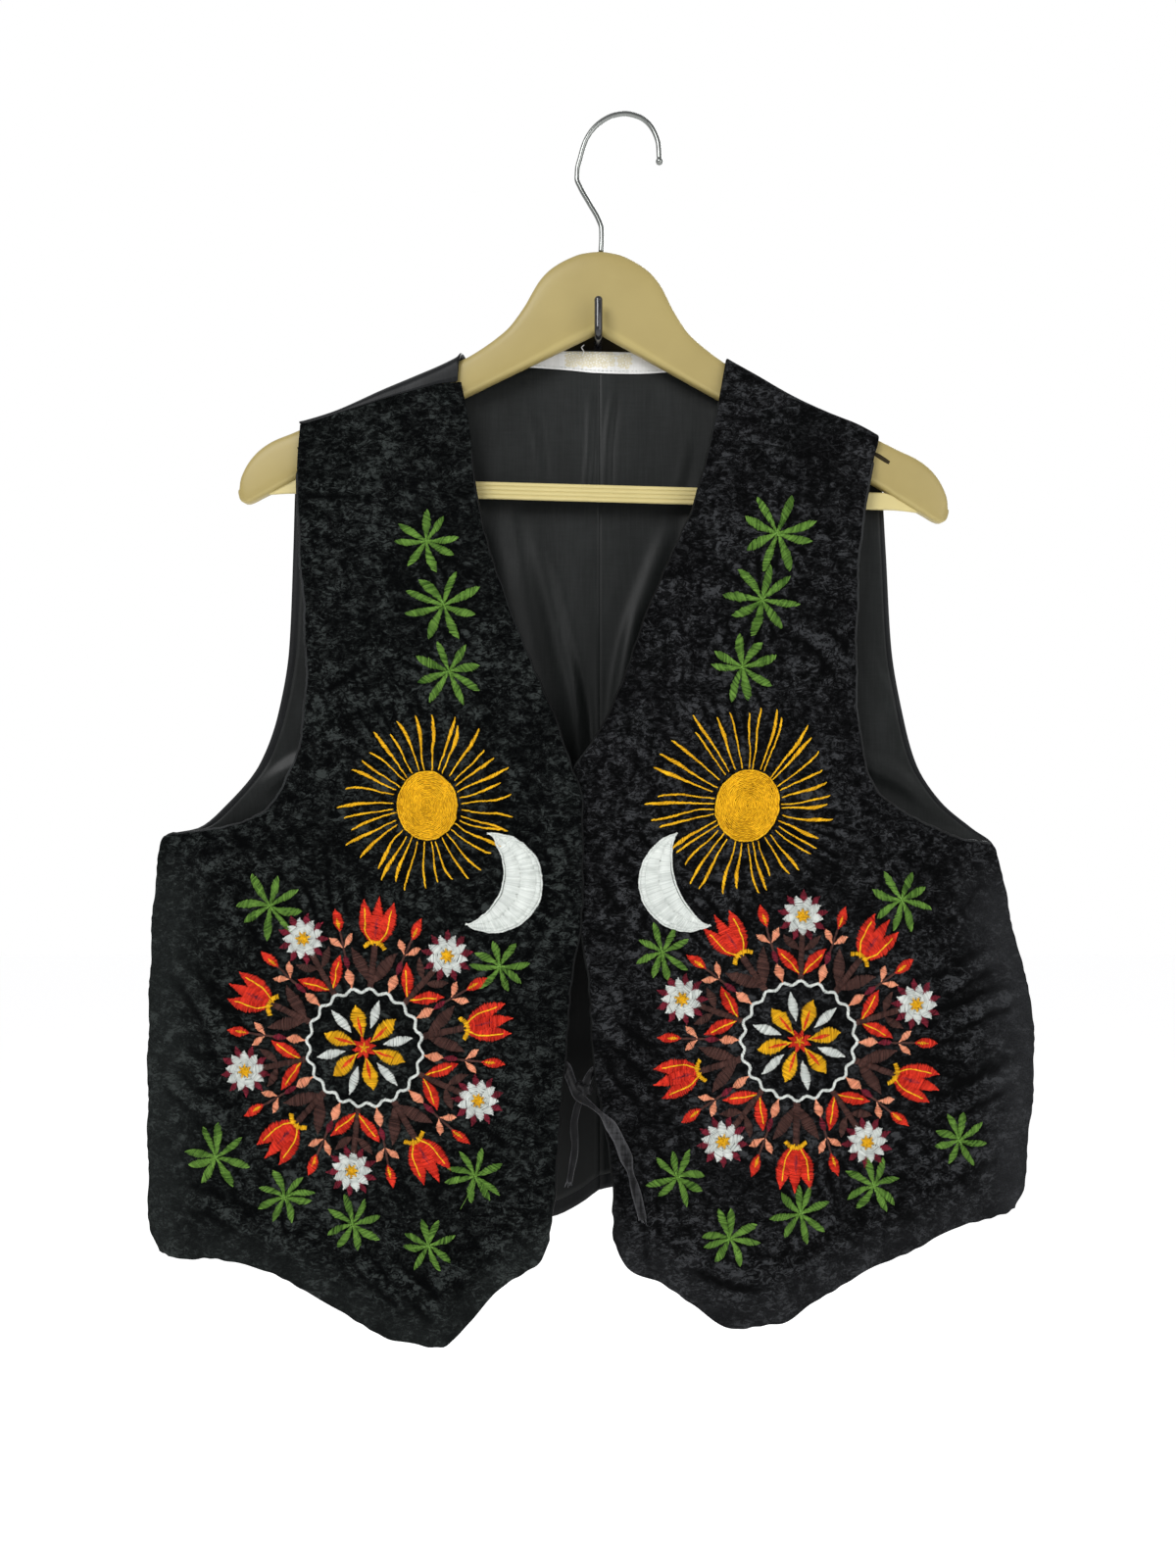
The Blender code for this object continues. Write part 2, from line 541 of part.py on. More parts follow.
def lining_grid(outer, centre, hem, top, corner):
    """The lining's middle surface: the back's, moved forward and cut back from its edges."""
    _, grid = back_base(outer, centre, hem, top, corner)
    normal = surface_normals(grid)
    normal *= -np.sign(normal[:, :, 1:2])
    grid = grid + normal * ((SATIN_WALL + LINING_WALL) / 2 + SEAM_GAP)
    grid[:, -1, 0] = centre[0][1]
    return grid[1:-1, 1:]


def main():
    for old in list(bpy.data.objects):
        bpy.data.objects.remove(old, do_unlink=True)

    velvet = material("velvet", (0.016, 0.018, 0.020), 0.85)
    satin = material("satin", (0.020, 0.021, 0.024), 0.42)
    lining = material("lining", (0.030, 0.031, 0.036), 0.5)
    tape = material("neck_tape", (0.74, 0.73, 0.70), 0.8)
    tie = material("tie", (0.018, 0.018, 0.020), 0.45)
    beige = material("beige_plastic", (0.52, 0.42, 0.20), 0.5)
    pale = material("bar_plastic", (0.66, 0.56, 0.32), 0.5)
    chrome = material("chrome", (0.72, 0.72, 0.74), 0.12, 1.0)
    black = material("black_metal", (0.010, 0.010, 0.011), 0.3)

    left_front = front(LEFT_OUTER, LEFT_INNER, LEFT_HEM, LEFT_SHOULDER, LEFT_UNDERARM, False)
    right_front = front(
        RIGHT_OUTER, RIGHT_INNER, RIGHT_HEM, RIGHT_SHOULDER, RIGHT_UNDERARM, True
    )
    add_wall("front_left", left_front, VELVET_WALL, velvet)
    add_wall("front_right", right_front, VELVET_WALL, velvet)

    left_centre = centre_line(LEFT_BACK_HEM[-1][1])
    right_centre = centre_line(RIGHT_BACK_HEM[-1][1])
    left_edges = (LEFT_BACK_OUTER, left_centre, LEFT_BACK_HEM, LEFT_BACK_TOP, LEFT_BACK_UNDERARM)
    right_edges = (RIGHT_BACK_OUTER, right_centre, RIGHT_BACK_HEM, RIGHT_BACK_TOP, RIGHT_BACK_UNDERARM)
    left_back = back(*left_edges, LEFT_OVER_RIDGE, LEFT_SHOULDER)
    right_back = back(*right_edges, RIGHT_OVER_RIDGE, None)
    add_wall("back_left", left_back, SATIN_WALL, satin)
    add_wall("back_right", right_back, SATIN_WALL, satin)

    left_lining = lining_grid(*left_edges)
    right_lining = lining_grid(*right_edges)
    add_wall("lining_left", left_lining, LINING_WALL, lining)
    add_wall("lining_right", right_lining, LINING_WALL, lining)
    near_neck = np.concatenate([left_lining[-5:].reshape(-1, 3), right_lining[-5:].reshape(-1, 3)])
    add_wall("neck_tape", tape_grid(near_neck), TAPE_WALL, tape)

    add_loft("tie_left", tie_rings(LEFT_TIE, 26, (0.4, 0.0, 1.0)), tie)
    add_loft("tie_right", tie_rings(RIGHT_TIE, 22, (-0.4, 0.0, 1.0)), tie)

    add_loft("hanger_body", hanger_rings(), beige)
    add_loft("hanger_bar", bar_rings(), pale)
    wire = tilt([(x, HANGER_MIDDLE_Y, z) for x, z in HOOK_PATH])
    wire, radii = rounded_end_radii(path_points(wire, 40), HOOK_WIRE_RADIUS, HOOK_BALL_RADIUS)
    add_loft("hanger_hook", tube_rings(wire, radii, 10, (0.0, 1.0, 0.0)), chrome)

    rod = path_points([(0.0, y, z) for y, z in ROD_PATH], 26)
    rod, radii = rounded_end_radii(rod, ROD_RADIUS, ROD_RADIUS * 1.02)
    add_loft("wall_hook", tube_rings(rod, radii, 12, (1.0, 0.0, 0.0)), black)
    plate = [
        (0.0, PLATE_RADIUS),
        (-PLATE_THICKNESS + PLATE_EDGE_ROUND, PLATE_RADIUS),
        (-PLATE_THICKNESS, PLATE_RADIUS - PLATE_EDGE_ROUND),
    ]
    turn = np.arange(48) * 2 * math.pi / 48
    rings = [
        np.stack([r * np.cos(turn), np.full(48, y), r * np.sin(turn)], axis=1) for y, r in plate
    ]
    add_loft("wall_plate", rings, black)


main()
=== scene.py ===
"""Looks of an embroidered velvet waistcoat on a moulded hanger that hangs on a rod hook.

X is to the viewer's right, Z is up and the wall is the plane y = 0, with the waistcoat on
its -Y side. Left and right are the viewer's. Sizes are in millimetres, meshes in metres.
"""

import logging
import math
from dataclasses import dataclass
from enum import Enum

import bpy
import numpy as np
from numpy.typing import NDArray
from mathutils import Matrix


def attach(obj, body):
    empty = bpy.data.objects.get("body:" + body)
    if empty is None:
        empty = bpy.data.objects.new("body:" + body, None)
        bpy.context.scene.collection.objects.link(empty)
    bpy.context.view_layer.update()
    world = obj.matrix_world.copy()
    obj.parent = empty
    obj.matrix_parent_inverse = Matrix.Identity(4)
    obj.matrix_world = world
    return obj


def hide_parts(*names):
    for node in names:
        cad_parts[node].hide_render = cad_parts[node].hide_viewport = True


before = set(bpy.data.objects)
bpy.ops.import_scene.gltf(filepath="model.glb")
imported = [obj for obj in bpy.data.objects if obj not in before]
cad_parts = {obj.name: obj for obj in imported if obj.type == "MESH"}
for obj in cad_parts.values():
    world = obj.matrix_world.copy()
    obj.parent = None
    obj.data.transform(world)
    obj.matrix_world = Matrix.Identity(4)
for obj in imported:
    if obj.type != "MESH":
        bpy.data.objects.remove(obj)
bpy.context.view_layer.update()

Array = NDArray[np.float64]
Place = tuple[float, float]
Triple = tuple[float, float, float]
Colour = Triple
Rows = list[tuple[float, ...]]
LOG = logging.getLogger("waistcoat")

MM = 0.001
BODY = "root"
FORWARD = (0.0, -1.0, 0.0)

VELVET_WALL = 2.0
SATIN_WALL = 1.2
LINING_WALL = 1.0
TAPE_WALL = 0.8
SEAM_GAP = 0.4

FLUTE_DEPTH = 2.6
FLUTES_ACROSS = 2.3
BELLY_DEPTH = 5.0

HANGER_MIDDLE_Y = -24.0
HANGER_TILT = math.radians(1.6)
CROTCH_Z = 2.8

# Points of a path before they are spaced evenly, and how full the rim of a wall is.
FINE_POINTS = 500
RIM_FULLNESS = 0.6

# Shares of the top where the back changes from wrapped shoulder to open neck edge.
NECK_START = 0.52
NECK_END = 0.56
NECK_ROW_RISE = 0.2
LEFT_LAST_ROW_Y = -33.8

# Edges of the cloth. Columns: level up the edge, or share along it, x, y, z.
LEFT_OUTER = [
    (0, -280.5, -24.6, -571), (0.06, -284.3, -24.6, -545), (0.2, -284.7, -24.6, -470),
    (0.34, -282.5, -24.6, -385), (0.43, -278.5, -24.6, -333), (0.465, -273.6, -25, -315.8),
    (0.5, -250, -29, -312.9), (0.535, -226, -32, -308), (0.565, -207, -34, -298),
    (0.6, -194.5, -35.5, -280), (0.65, -185.2, -36.5, -252), (0.71, -181.9, -37, -215),
    (0.79, -183.6, -37, -170), (0.88, -187, -36.5, -123), (0.95, -188.2, -35, -85),
    (1, -186.7, -33.2, -57.5),
]
RIGHT_OUTER = [
    (0, 266.5, -24.6, -545), (0.06, 271, -24.6, -515), (0.18, 275.5, -24.6, -456.6),
    (0.27, 273.5, -24.6, -420), (0.34, 264.5, -24.6, -385), (0.41, 256, -24.6, -345),
    (0.455, 249.5, -25, -321.5), (0.5, 230, -29, -318), (0.54, 208, -32, -309.5),
    (0.575, 188, -34, -299), (0.61, 173.2, -35.5, -285.7), (0.66, 163.8, -36.5, -258),
    (0.72, 160.4, -37, -215), (0.8, 161.2, -37, -168), (0.87, 163.5, -36.5, -130),
    (0.93, 169, -35.5, -95), (0.955, 172.8, -34.6, -76), (0.97, 174.8, -34, -69.5),
    (0.98, 175.4, -33.2, -66), (0.99, 175.7, -30, -63.8), (1, 175.9, -24.6, -63),
]
LEFT_INNER = [
    (0, -30.7, -57, -562.4), (0.06, -27.2, -57, -532), (0.14, -24, -57, -485), (0.22, -20.4, -57, -446),
    (0.29, -17, -57, -402), (0.35, -12.2, -57, -376), (0.42, -10.2, -57, -350),
    (0.5, -10.2, -56.8, -318), (0.56, -10.4, -56.4, -291), (0.6, -16.5, -55.6, -274),
    (0.66, -29, -53.7, -237), (0.72, -41.5, -51.5, -209), (0.79, -56, -48.5, -172),
    (0.86, -69.5, -45, -132), (0.92, -77.4, -41, -95), (0.96, -80.8, -37.5, -62), (1, -86.5, -33.7, -31),
]
RIGHT_INNER = [
    (0, 9.2, -57, -562), (0.06, 9.6, -57, -535), (0.14, 5, -57, -494), (0.22, -2.4, -57, -456),
    (0.29, -5.5, -56.6, -405), (0.34, -9.6, -55.4, -379), (0.38, -14.5, -53.4, -362),
    (0.44, -15.8, -53.2, -335), (0.5, -15.8, -53, -305), (0.55, -15, -52.8, -276),
    (0.6, -2, -52.5, -255.5), (0.66, 13.5, -51.5, -224), (0.72, 27.6, -50, -184),
    (0.79, 44.6, -47.5, -143), (0.85, 58.5, -44.5, -112), (0.91, 68.5, -41, -77), (0.95, 76, -36.2, -42),
    (0.97, 78.8, -34.3, -26.5), (0.98, 80.2, -33.2, -18.8), (0.99, 81, -30, -15.7),
    (1, 81.5, -24.6, -15.2),
]
LEFT_HEM = [
    (0, -280.5, -24.6, -571), (0.06, -262, -30, -573.3), (0.16, -233.5, -37, -577.6),
    (0.28, -204.5, -42, -586), (0.4, -176, -46, -599.4), (0.5, -146, -49, -616.5),
    (0.58, -124, -51, -624.6), (0.67, -97.3, -53, -627.2), (0.76, -80, -54.2, -614),
    (0.86, -59.5, -55.5, -590.5), (0.94, -42.8, -56.4, -579.4), (0.98, -34.9, -56.8, -573.3),
    (1, -30.7, -57, -562.4),
]
RIGHT_HEM = [
    (0, 266.5, -24.6, -545), (0.05, 253, -28.5, -547.5), (0.16, 220.6, -36, -559.4),
    (0.28, 190.3, -41, -574.5), (0.39, 164.9, -45, -585.4), (0.5, 136, -48.5, -601),
    (0.59, 112, -51, -613.3), (0.69, 84.3, -53, -616.3), (0.79, 60, -54.7, -603.5),
    (0.89, 36, -56, -587), (0.96, 17.7, -56.7, -578.2), (1, 9.2, -57, -562),
]
LEFT_SHOULDER = [
    (0, -186.7, -33.2, -57.5), (0.35, -152, -33.4, -47.5), (0.6, -126, -33.5, -39.5),
    (0.85, -100, -33.6, -32.5), (1, -86.5, -33.7, -31),
]
RIGHT_SHOULDER = [
    (0, 175.9, -24.6, -63), (0.18, 163.7, -24.6, -56.2), (0.37, 145, -24.6, -48.6),
    (0.55, 128.9, -24.6, -41.2), (0.72, 114.6, -24.6, -33.6), (0.86, 100.9, -24.6, -25.8),
    (1, 81.5, -24.6, -15.2),
]
LEFT_BACK_OUTER = [
    (0, -280.5, -22.6, -569.5), (0.06, -284.3, -22.6, -545), (0.22, -284.7, -22.6, -470),
    (0.38, -282.5, -22.6, -385), (0.47, -278.5, -22.4, -333), (0.505, -274.6, -21.5, -316),
    (0.54, -255, -18, -311), (0.58, -236.2, -16.5, -295.2), (0.63, -216.1, -15.5, -270.1),
    (0.69, -204.4, -15, -238), (0.77, -197.3, -14.6, -194.8), (0.88, -194.8, -14.2, -132),
    (0.96, -193.4, -14, -88), (1, -190.4, -14, -61),
]
RIGHT_BACK_OUTER = [
    (0, 266.5, -22.6, -543.5), (0.06, 271, -22.6, -515), (0.2, 275.5, -22.6, -456.6),
    (0.3, 273.5, -22.6, -420), (0.38, 264.5, -22.6, -385), (0.45, 256, -22.4, -345),
    (0.495, 251, -21.5, -322), (0.54, 238, -18, -311), (0.58, 219.5, -16.5, -295.2),
    (0.63, 203.1, -15.5, -270.1), (0.69, 194.4, -15, -238), (0.77, 187.2, -14.6, -194.8),
    (0.88, 183.7, -14.2, -132), (0.96, 180.5, -14, -84), (1, 177.3, -14, -69.5),
]
LEFT_BACK_HEM = [
    (0, -280.5, -22.6, -569.5), (0.1, -255, -16, -569.5), (0.25, -215, -11.5, -570),
    (0.6, -120, -9, -569), (0.9, -29.7, -9, -560.6), (0.96, -11.5, -9, -552.5), (1, 0.6, -9, -543.5),
]
RIGHT_BACK_HEM = [
    (0, 266.5, -22.6, -543.5), (0.1, 240, -16, -543.5), (0.25, 200, -11.5, -545), (0.6, 110, -9, -548),
    (0.9, 28, -9, -543.5), (0.96, 11.8, -9, -541.8), (1, 1, -9, -543.5),
]
LEFT_BACK_TOP = [
    (0, -190.4, -14, -61.8), (0.12, -168, -14, -55.2), (0.28, -133.2, -14, -40.2),
    (0.4, -115.2, -14, -32.6), (0.49, -96, -14, -24.2), (0.52, -88.6, -14, -20.2),
    (0.56, -84, -13.8, -15.6), (0.66, -64, -12, -8), (0.8, -32, -10.4, -4.8), (1, 0.6, -10, -5.8),
]
RIGHT_BACK_TOP = [
    (0, 177.3, -14, -69.5), (0.12, 163.7, -14, -61.4), (0.28, 128.9, -14, -46.5), (0.4, 114.6, -14, -39),
    (0.49, 93, -14, -27.5), (0.52, 84.5, -14, -22), (0.56, 80.5, -13.8, -17.5), (0.66, 62.6, -12, -9.2),
    (0.8, 31.6, -10.4, -5.6), (1, 1, -10, -5.8),
]
# The seam in the middle of the back. Columns: level, y, z.
CENTRE_BACK = [(0, -9, -543.5), (0.3, -8.4, -400), (0.6, -9, -240), (0.85, -9.6, -90), (1, -10, -5.8)]
# The back over the hanger's ridge. Columns: y, height over the edge.
LEFT_OVER_RIDGE = [(-14, 0), (-15.4, 3.6), (-18.6, 5.8), (-24, 6.8), (-30.2, 5.8), (-33.3, 1.6)]
RIGHT_OVER_RIDGE = [(-14, 0), (-15.2, 3.4), (-18.4, 5.2), (-23.8, 5.9)]
# The tape inside the back neck. Columns: x, top z, bottom z.
NECK_TAPE = [
    (-68, -11.6, -15), (-45, -7.2, -15.6), (-22, -5.6, -17), (0, -5.8, -19), (24, -6.4, -19.6),
    (45, -8.4, -18.6), (66, -12.4, -16.2),
]
# The hanger's arm. Columns: top x, top z, low x, low z, half depth.
HANGER_ARM = [
    (10.5, 52.6, 5, 0.3, 6.5), (20, 49, 11, -2.9, 6.5), (31.7, 41.5, 19, -7, 6.5),
    (38.2, 34.1, 27, -11.2, 6.5), (42.5, 26.6, 34, -14.8, 6.5), (46.3, 19.2, 42, -18.9, 6.5),
    (51, 11.7, 50, -23, 6.5), (56.5, 4.2, 58.5, -27.4, 6.5), (64.6, -3.2, 68, -32.3, 6.5),
    (75.1, -11, 79, -38, 6.5), (83.5, -16.2, 87, -42.1, 6.5), (92, -19.8, 96, -46.8, 6.5),
    (101, -25.2, 106, -52, 6.5), (115, -32.6, 121, -59.7, 6.5), (130, -39.8, 138, -68.4, 6.5),
    (145, -46.4, 155, -77.2, 6.5), (164, -53.8, 171, -85.5, 6.5), (180, -61, 183, -91.7, 6.5),
    (191, -66.2, 190, -96.3, 6.5), (204, -72, 197, -100.4, 6.4), (212.3, -78.1, 204, -104.4, 6.2),
    (217.5, -84.2, 210, -107.6, 6), (221, -90.3, 215, -110.4, 5.7), (223.4, -97, 219, -111.6, 5.2),
    (224, -102.5, 222, -110.4, 3.6),
]
# The wire hook. Columns: x, z.
HOOK_PATH = [
    (0.3, 54.6), (0.5, 62), (0.2, 69.5), (-1.6, 74.5), (-8, 85.2), (-14, 95.2), (-16.2, 100.6),
    (-16.1, 106), (-14.4, 114), (-12, 123), (-7.5, 131.4), (-0.5, 138), (6.6, 141.5), (13.6, 142.6),
    (21.8, 140.9), (27.7, 137.2), (32.4, 130.6), (34.8, 123.6), (35.6, 114.6),
]
# The rod hook. Columns: y, z.
ROD_PATH = [
    (-4.4, -0.4), (-14, -0.4), (-28, -0.5), (-33, -1.5), (-36.6, -2.8), (-39.6, -1.9), (-41.2, 1.4),
    (-41.2, 7), (-40.4, 18.3),
]
# The ties. Columns: x, y, z, and for the widths share of the length, half width.
LEFT_TIE = [
    (-26, -54.2, -453.5), (-20.5, -54.6, -456), (-17.4, -58.6, -462), (-12.6, -63.8, -471.5),
    (-4.7, -65.2, -477.5), (3.5, -63.2, -485.5), (10.4, -61, -496), (16.4, -60.8, -509.5),
    (20.6, -60.8, -523.5), (24, -60.8, -536), (26.9, -60.8, -548.1),
]
LEFT_TIE_WIDTHS = [
    (0, 3), (0.22, 3.1), (0.31, 1.8), (0.37, 1.4), (0.48, 3.5), (0.66, 3.8), (0.75, 2), (0.82, 2.7),
    (0.97, 2.9), (1, 2.4),
]
RIGHT_TIE_WIDTHS = [(0, 2.5), (0.25, 2.5), (0.34, 1.9), (0.55, 2.3), (0.8, 2.2), (1, 1.7)]
RIGHT_TIE = [
    (3.6, -54, -455.5), (-3.4, -54, -459), (-7.4, -57.5, -465), (-10.4, -60.9, -473),
    (-13.2, -61, -480.5), (-15, -60.8, -491), (-14.4, -60.6, -503.3), (-16, -60.4, -515.3),
    (-17.8, -60.2, -525.4),
]


def unit(vectors: Array) -> Array:
    """Vectors of length one: each divided by its own length."""
    return vectors / np.maximum(np.linalg.norm(vectors, axis=-1, keepdims=True), 1e-12)


def ease(value: Array) -> Array:
    """Smooth step: three times the square less twice the cube, between 0 and 1."""
    part = np.clip(value, 0.0, 1.0)
    return part * part * (3 - 2 * part)


def smooth(places: Array, values: Array, at: Array) -> Array:
    """Monotone cubic through stations, column by column.

    Each stretch is the Hermite cubic of its two ends, with the harmonic mean of the slopes
    beside a station as its tangent, and a level tangent where the slopes change sign.

    Args:
        places: Where the stations are, rising, K of them.
        values: Their values, K rows and J columns.
        at: The places asked for, N rows and J columns.

    Returns:
        The values there, N rows and J columns.
    """
    step = np.diff(places)[:, None]
    slope = np.diff(values, axis=0) / step
    tangent = np.zeros_like(values)
    tangent[0], tangent[-1] = slope[0], slope[-1]
    product = slope[:-1] * slope[1:]
    same = product > 0
    before = 2 * step[1:] + step[:-1]
    after = step[1:] + 2 * step[:-1]
    below = np.where(same, before * slope[1:] + after * slope[:-1], 1.0)
    tangent[1:-1] = np.where(same, (before + after) * product / below, 0.0)
    cell = np.clip(np.searchsorted(places, at, side="right") - 1, 0, len(step) - 1)
    gap = step[:, 0][cell]
    part = (at - places[cell]) / gap
    column = np.arange(values.shape[1])[None, :]
    return (
        values[cell, column] * (1 + 2 * part) * (1 - part) ** 2
        + tangent[cell, column] * gap * part * (1 - part) ** 2
        + values[cell + 1, column] * part**2 * (3 - 2 * part)
        + tangent[cell + 1, column] * gap * part**2 * (part - 1)
    )


def curve(table: Rows, at: Array) -> Array:
    """Points of a table's curve: its first column is the place, the rest are coordinates."""
    stations = np.asarray(table, float)
    return smooth(stations[:, 0], stations[:, 1:], repeated(at, stations.shape[1] - 1))


def repeated(values: Array, columns: int) -> Array:
    """A row of values as so many equal columns."""
    return np.repeat(np.asarray(values, float)[:, None], columns, axis=1)


def patch(outer: Rows, inner: Rows, hem: Rows, top: Rows, u: Array, v: Array) -> Array:
    """Coons patch: the two ruled surfaces between facing edges, less the corners' bilinear one.

    Args:
        outer: The edge at u = 0, as a table by level.
        inner: The edge at u = 1.
        hem: The edge at v = 0, as a table by share.
        top: The edge at v = 1.
        u: Shares of the columns.
        v: Levels of the rows.

    Returns:
        Grid of points, rows by columns by three.
    """
    left, right = (curve(table, v)[:, None, :] for table in (outer, inner))
    low, high = (curve(table, u)[None, :, :] for table in (hem, top))
    first_low, last_low, first_high, last_high = (
        np.asarray(row[1:], float)[None, None, :] for row in (hem[0], hem[-1], top[0], top[-1])
    )
    across, up = u[None, :, None], v[:, None, None]
    corners = (1 - up) * ((1 - across) * first_low + across * last_low)
    corners = corners + up * ((1 - across) * first_high + across * last_high)
    return (1 - across) * left + across * right + (1 - up) * low + up * high - corners


def grid_normals(grid: Array) -> Array:
    """Unit normals: the step across a grid crossed with the step up it."""
    return unit(np.cross(np.gradient(grid, axis=1), np.gradient(grid, axis=0)))


def running(path: Array) -> Array:
    """Length along a path up to each of its points."""
    return np.concatenate([[0.0], np.cumsum(np.linalg.norm(np.diff(path, axis=0), axis=1))])


def even_path(stations: Array, count: int) -> Array:
    """A smooth path through stations, with so many points evenly spaced along its length.

    Args:
        stations: Points that it passes.
        count: How many points it gets.

    Returns:
        The path.
    """
    stations = np.asarray(stations, float)
    run = running(stations)
    dense = smooth(run, stations, repeated(np.linspace(0, run[-1], FINE_POINTS), stations.shape[1]))
    gone = running(dense)
    even = np.linspace(0, gone[-1], count)
    return np.stack([np.interp(even, gone, column) for column in dense.T], axis=1)


class Shape:
    """Points and faces of one closed body, in millimetres, with values carried by its points."""

    def __init__(self, points: Array, quads: Array, triangles: Array | None = None) -> None:
        """Keeps the points and the faces' corner numbers, with finish 0 on every face.

        Args:
            points: Points, N by three.
            quads: Corner numbers of the four-sided faces.
            triangles: Corner numbers of the three-sided faces.
        """
        self.points = points
        self.quads = quads
        self.triangles = np.zeros((0, 3), int) if triangles is None else triangles
        self.values: dict[str, Array] = {}
        self.quad_finish = np.zeros(len(quads), int)
        self.triangle_finish = np.zeros(len(self.triangles), int)

    def piece(self, name: str, slot: str, finishes: "list[Finish]", node: str = "") -> bpy.types.Object:
        """Makes the object, smooth shaded, riding on the body.

        Args:
            name: The piece's name.
            slot: Name of the record's material slot; not used.
            finishes: Its finishes, numbered as the faces' finish numbers are.
            node: The CAD node that it replaces, if any.

        Returns:
            The object.
        """
        mesh = bpy.data.meshes.new(name)
        mesh.vertices.add(len(self.points))
        mesh.vertices.foreach_set("co", (self.points * MM).astype(np.float32).ravel())
        corners = np.concatenate([self.quads.ravel(), self.triangles.ravel()]).astype(np.int32)
        mesh.loops.add(len(corners))
        mesh.loops.foreach_set("vertex_index", corners)
        sizes = np.repeat([4, 3], [len(self.quads), len(self.triangles)])
        mesh.polygons.add(len(sizes))
        mesh.polygons.foreach_set("loop_start", (np.cumsum(sizes) - sizes).astype(np.int32))
        mesh.polygons.foreach_set("use_smooth", np.ones(len(sizes), bool))
        for finish in finishes:
            mesh.materials.append(finish.build())
        finish = np.concatenate([self.quad_finish, self.triangle_finish]).astype(np.int32)
        mesh.polygons.foreach_set("material_index", finish)
        mesh.update(calc_edges=True)
        for key, value in self.values.items():
            layer = mesh.attributes.new(key, "FLOAT", "POINT")
            layer.data.foreach_set("value", np.asarray(value, np.float32))
        made = bpy.data.objects.new(name, mesh)
        bpy.context.collection.objects.link(made)
        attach(made, BODY)
        if node:
            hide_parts(node)
        LOG.info("%s: %d triangles", name, 2 * len(self.quads) + len(self.triangles))
        return made


def closed_wall(middle: Array, thickness: float, values: dict[str, Array], rim: int = 3) -> Shape:
    """A cloth wall: the middle surface moved half the thickness each way, with a rounded rim.

    The rim's rings go half round from one face to the other: the cosine of their turn times the
    normal, plus the sine times the way out of the edge.

    Args:
        middle: Grid of points, rows by columns by three.
        thickness: The wall.
        values: Grids of values carried by the points.
        rim: Rings between the two faces.

    Returns:
        The closed body.
    """
    rows, columns = middle.shape[:2]
    count = rows * columns
    normal = grid_normals(middle)
    half = thickness / 2
    index = np.arange(count).reshape(rows, columns)
    sheet = np.stack([index[:-1, :-1], index[:-1, 1:], index[1:, 1:], index[1:, :-1]], axis=-1)
    sheet = sheet.reshape(-1, 4)
    loop = np.concatenate([index[0, :-1], index[:-1, -1], index[-1, :0:-1], index[:0:-1, 0]])
    edge = middle.reshape(-1, 3)[loop]
    edge_normal = normal.reshape(-1, 3)[loop]
    way = unit(np.roll(edge, -1, axis=0) - np.roll(edge, 1, axis=0))
    out = unit(np.cross(way, edge_normal))
    turn = (math.pi * np.arange(1, rim + 1) / (rim + 1))[:, None, None]
    rings = edge[None] + half * (np.cos(turn) * edge_normal + RIM_FULLNESS * np.sin(turn) * out)
    faces = [middle + normal * half, middle - normal * half, rings]
    chain = [loop, *(2 * count + np.arange(rim * len(loop))).reshape(rim, -1), loop + count]
    quads = [sheet, sheet[:, ::-1] + count]
    quads += [
        np.stack([np.roll(near, -1), near, far, np.roll(far, -1)], axis=1)
        for near, far in zip(chain, chain[1:])
    ]
    made = Shape(np.concatenate([f.reshape(-1, 3) for f in faces]), np.concatenate(quads))
    for key, value in values.items():
        flat = value.reshape(-1)
        made.values[key] = np.concatenate([flat, flat, np.tile(flat[loop], rim)])
    return made


def ring_faces(count: int, size: int) -> tuple[Array, Array]:
    """Quads between rings numbered one after another, and triangles to the two poles after them.

    Args:
        count: How many rings.
        size: Points in a ring.

    Returns:
        The quads and the triangles.
    """
    k = np.arange(size)
    base = (np.arange(count - 1) * size)[:, None]
    a, b = (base + k).ravel(), (base + (k + 1) % size).ravel()
    last, poles = (count - 1) * size, np.full((2, size), [[count * size], [count * size + 1]])
    start = np.stack([poles[0], (k + 1) % size, k], axis=1)
    end = np.stack([last + k, last + (k + 1) % size, poles[1]], axis=1)
    return np.stack([a, b, b + size, a + size], axis=1), np.concatenate([start, end])


def closed_rings(rings: Array) -> Shape:
    """A closed body through rings of equal length, N by K by three, with a pole at both ends."""
    points = np.concatenate([rings.reshape(-1, 3), rings[:1].mean(1), rings[-1:].mean(1)])
    return Shape(points, *ring_faces(*rings.shape[:2]))


def tube(path: Array, wide: Array, deep: Array, reference: Array, size: int) -> Shape:
    """A closed tube: ellipses across a path, drawn in to a point at both ends.

    A ring's points are the cosine of the turn times the wide radius along the side, plus the
    sine times the deep radius along the reference.

    Args:
        path: Points of the middle line, N by three.
        wide: Radius to the side at each point.
        deep: Radius along the reference at each point.
        reference: The direction of the deep radius, one for all or one for each point.
        size: Points in a ring.

    Returns:
        The closed body.
    """
    tangent = unit(np.gradient(path, axis=0))
    held = np.broadcast_to(np.asarray(reference, float), path.shape)
    lift = unit(held - tangent * (held * tangent).sum(1, keepdims=True))
    side = np.cross(lift, tangent)
    turn = (np.arange(size) * 2 * math.pi / size)[None, :, None]
    rings = path[:, None] + np.cos(turn) * (side * wide[:, None])[:, None]
    return closed_rings(rings + np.sin(turn) * (lift * deep[:, None])[:, None])


